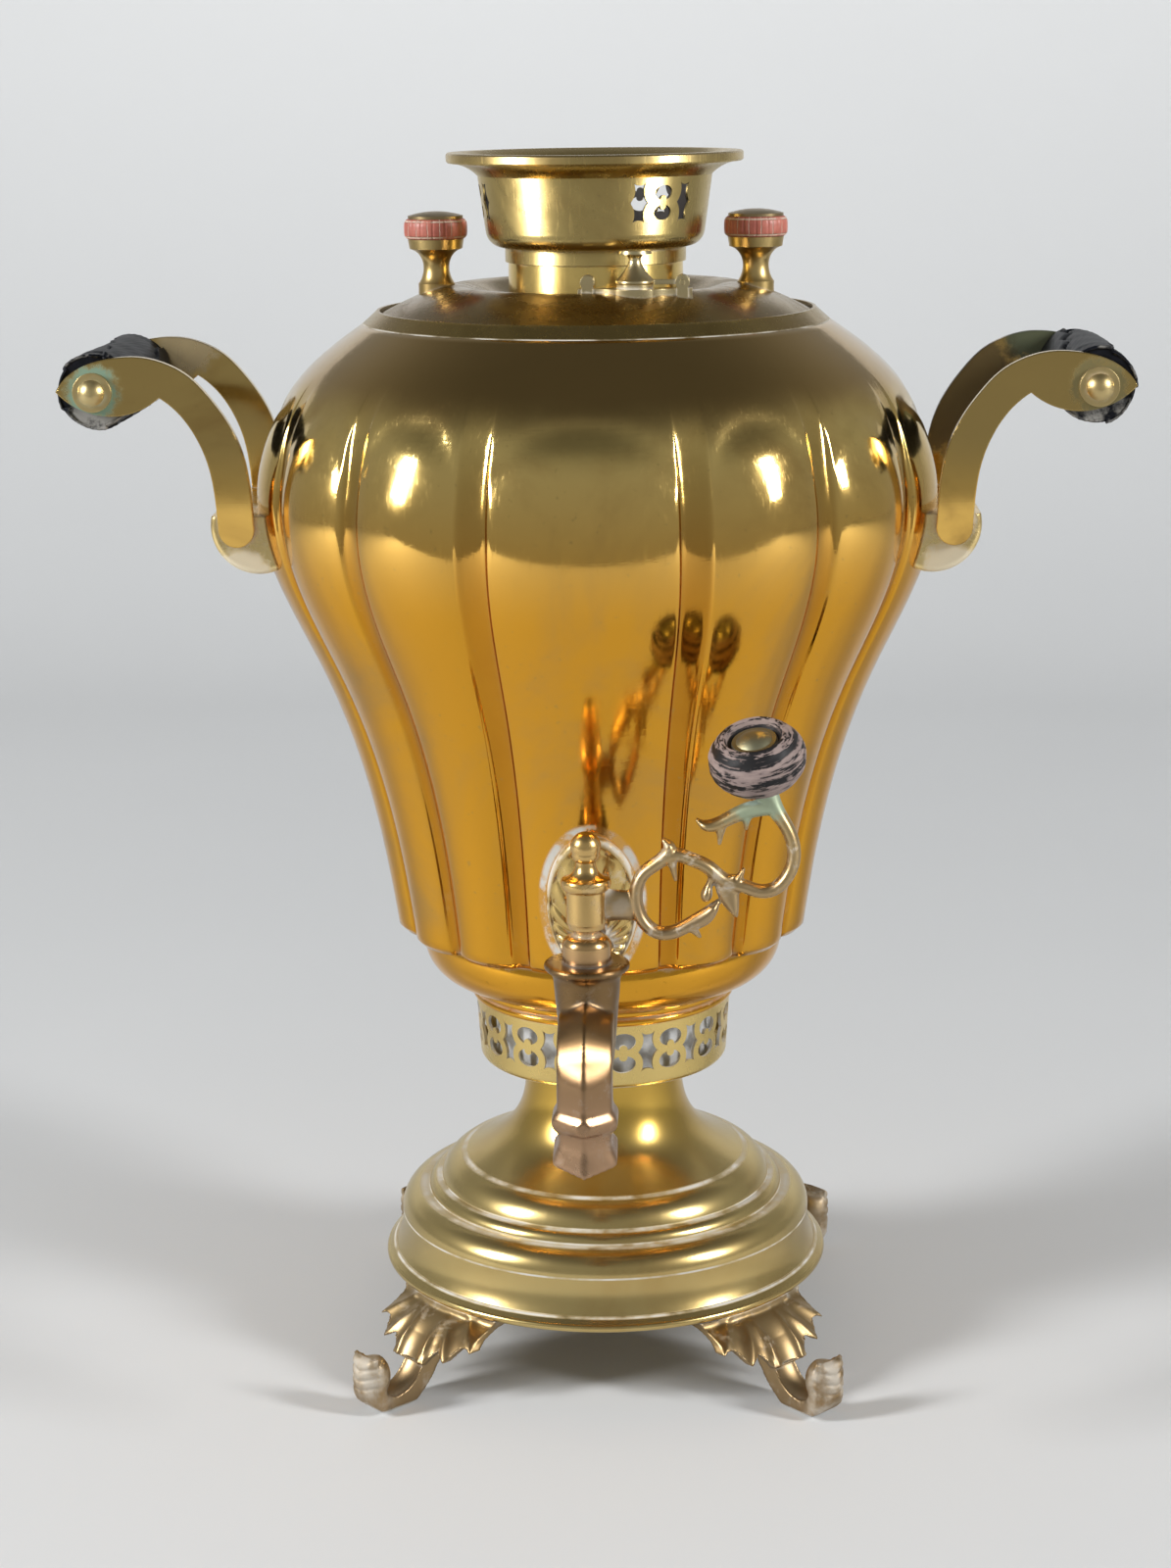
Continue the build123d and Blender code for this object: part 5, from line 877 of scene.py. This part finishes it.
def cast_foot():
    """The CAD foot, remeshed finely, with leaf ridges, a hollow tongue and a notched curl."""
    data = with_bulb(nodes["foot_front_right"].data.copy())
    faces, (crisp, rounded), (normals, _) = finely(data, 0.00055, (6, 60))
    crisp, rounded, n = (turned_by(values, -45) for values in (crisp, rounded, normals))
    toe = step_up(-crisp[:, 1], TOE + 3, TOE + 9)[:, None] * step_up(crisp[:, 2], 1, 5)[:, None]
    p = crisp + (rounded - crisp) * toe
    u, r, z = np.abs(p[:, 0]), -p[:, 1], p[:, 2]

    fan, reach = np.degrees(np.arctan2(u, FAN_TOP - z)), np.hypot(u, FAN_TOP - z)
    from_tip = np.clip(np.min(np.abs(fan[:, None] - LEAF_TIPS), axis=1) / 8.8, 0, 1)
    leaves = np.clip((fan - 13) / 4, 0, 1) * np.clip((reach - 17.5) / 6, 0, 1) * (r < TOE + 2)
    push = (-0.85 * np.sin(from_tip * pi / 2) ** 1.5 + 0.35 * gauss(from_tip, 0, 0.35)) * leaves

    along = np.clip((33 - z) / 7, 0, 1) * (r < TOE + 15)
    hollow = 1 - np.clip(u / 6.2, 0, 1.25) ** 2
    tongue = (-1.5 * np.clip(hollow, 0, 1) + 0.5 * gauss(u, 6.3, 1.3)) * along
    push += np.where(u < 7.5, tongue, 0)
    push = push * np.clip((-n[:, 1] + n[:, 2]) * 1.4, 0, 1)

    curl = np.clip((r - TOE - 9) / 5, 0, 1) * np.clip((z - 5) / 8, 0, 1)
    notch = sum(gauss(z, height + 0.25 * u, 0.7) for height in CURL_NOTCHES)
    push -= 0.6 * curl * notch * np.clip(-n[:, 1] * 2, 0, 1)
    push -= 2.6 * curl * gauss(u, 0, 2.6) * np.clip(n[:, 1] * 2, 0, 1)
    p = p + n * push[:, None]
    p[:, 2] = np.maximum(p[:, 2], 0.0)
    return p, faces


foot_points, foot_faces = cast_foot()
for foot, turn in (("front_right", 45), ("rear_right", 135), ("rear_left", 225), ("front_left", 315)):
    made("cast_foot_" + foot, turned_by(foot_points, turn), foot_faces, "foot", "frame",
         "foot_" + foot)

# ---------------------------------------------------------------- stage
# A floor whose front edge gives the horizon on the belly, and that bends up into a low wall.
HALF, FRONT, BACK, BEND, WALL = 2.6, -0.87, 1.9, 0.7, 1.15


def paper():
    """Matt paper, greyer on the floor and lighter up the wall, as painted light."""
    t = Tree("paper")
    grey = t.mix(t.noise(2.5, 2), (0.62, 0.63, 0.64), (0.66, 0.67, 0.68))
    # painted light: the paper turns lighter with height
    t.set(Base_Color=t.mix(t.ramp(t.z, 0.0, 1.2), grey, (0.80, 0.805, 0.81)), Roughness=0.75)
    return t.material


def paper_sheet():
    line = [(FRONT, 0.0), (BACK - BEND, 0.0)]
    line += [(BACK - BEND + BEND * sin(a), BEND - BEND * cos(a)) for a in np.linspace(0.1, pi / 2, 14)]
    line.append((BACK, WALL))
    verts = [(x, y, z) for y, z in line for x in (-HALF, HALF)]
    faces = [(2 * i, 2 * i + 1, 2 * i + 3, 2 * i + 2) for i in range(len(line) - 1)]
    mesh = bpy.data.meshes.new("backdrop")
    mesh.from_pydata(verts, [], faces)
    mesh.shade_smooth()
    mesh.materials.append(paper())
    return bpy.data.objects.new("backdrop", mesh)


backdrop = paper_sheet()
bpy.context.scene.collection.objects.link(backdrop)


def studio_world(tint, front_to_back, up):
    """A dim room whose light is the product of two ramps over the direction's y and z."""
    world = bpy.data.worlds.new("studio")
    world.use_nodes = True
    tree = world.node_tree
    tree.nodes.clear()
    out = tree.nodes.new("ShaderNodeOutputWorld")
    shade = tree.nodes.new("ShaderNodeBackground")
    shade.inputs[0].default_value = (*tint, 1)
    split = tree.nodes.new("ShaderNodeSeparateXYZ")
    strength = tree.nodes.new("ShaderNodeMath")
    strength.operation = "MULTIPLY"
    tree.links.new(shade.outputs[0], out.inputs[0])
    tree.links.new(tree.nodes.new("ShaderNodeTexCoord").outputs["Generated"], split.inputs[0])
    tree.links.new(strength.outputs[0], shade.inputs[1])
    for factor, axis, levels in ((0, 1, front_to_back), (1, 2, up)):
        ramp = tree.nodes.new("ShaderNodeMapRange")
        ramp.interpolation_type = "SMOOTHSTEP"
        for socket, value in zip(list(ramp.inputs)[1:5], levels):
            socket.default_value = value
        tree.links.new(split.outputs[axis], ramp.inputs[0])
        tree.links.new(ramp.outputs[0], strength.inputs[factor])
    return world


# Each ramp: from and to along its axis, and the light at both ends.
bpy.context.scene.world = studio_world((0.98, 1.0, 0.98), front_to_back=(-0.2, 0.5, 0.35, 0.34),
                                       up=(0.46, 0.95, 1.0, 0.38))


def lamp(name, place, aim, width, height, power):
    """A rectangular softbox turned to its aim."""
    data = bpy.data.lights.new(name, "AREA")
    data.shape = "RECTANGLE"
    data.size, data.size_y = width, height
    data.energy = power
    thing = bpy.data.objects.new(name, data)
    bpy.context.scene.collection.objects.link(thing)
    thing.location = place
    thing.rotation_euler = (Vector(aim) - Vector(place)).to_track_quat("-Z", "Y").to_euler()


lamp("softbox left", (-1.80, -0.88, 1.12), (0, 0, 0.30), 0.36, 0.78, power=46)
lamp("softbox right", (1.80, -0.88, 1.12), (0, 0, 0.30), 0.32, 0.72, power=35)
lamp("backdrop lamp", (0, 0.95, 1.25), (0, 1.9, 0.30), 2.2, 0.7, power=3.6)

# ---------------------------------------------------------------- camera
TURN, DROP, ROLL = radians(2.8), radians(13.7415), radians(-0.6588)
ASIDE, DISTANCE, HEIGHT = -0.0061, 1.1196, 0.5022
LENS, SENSOR = 67.10, 36
camera = bpy.data.objects.new("camera", bpy.data.cameras.new("camera"))
bpy.context.scene.collection.objects.link(camera)
camera.data.lens = LENS
camera.data.sensor_width = SENSOR
camera.location = (ASIDE * cos(TURN) + DISTANCE * sin(TURN),
                   ASIDE * sin(TURN) - DISTANCE * cos(TURN), HEIGHT)
camera.rotation_euler = (Matrix.Rotation(TURN, 3, "Z") @ Matrix.Rotation(pi / 2 - DROP, 3, "X")
                         @ Matrix.Rotation(ROLL, 3, "Z")).to_euler()
bpy.context.scene.camera = camera
bpy.context.scene.view_settings.view_transform = "Standard"
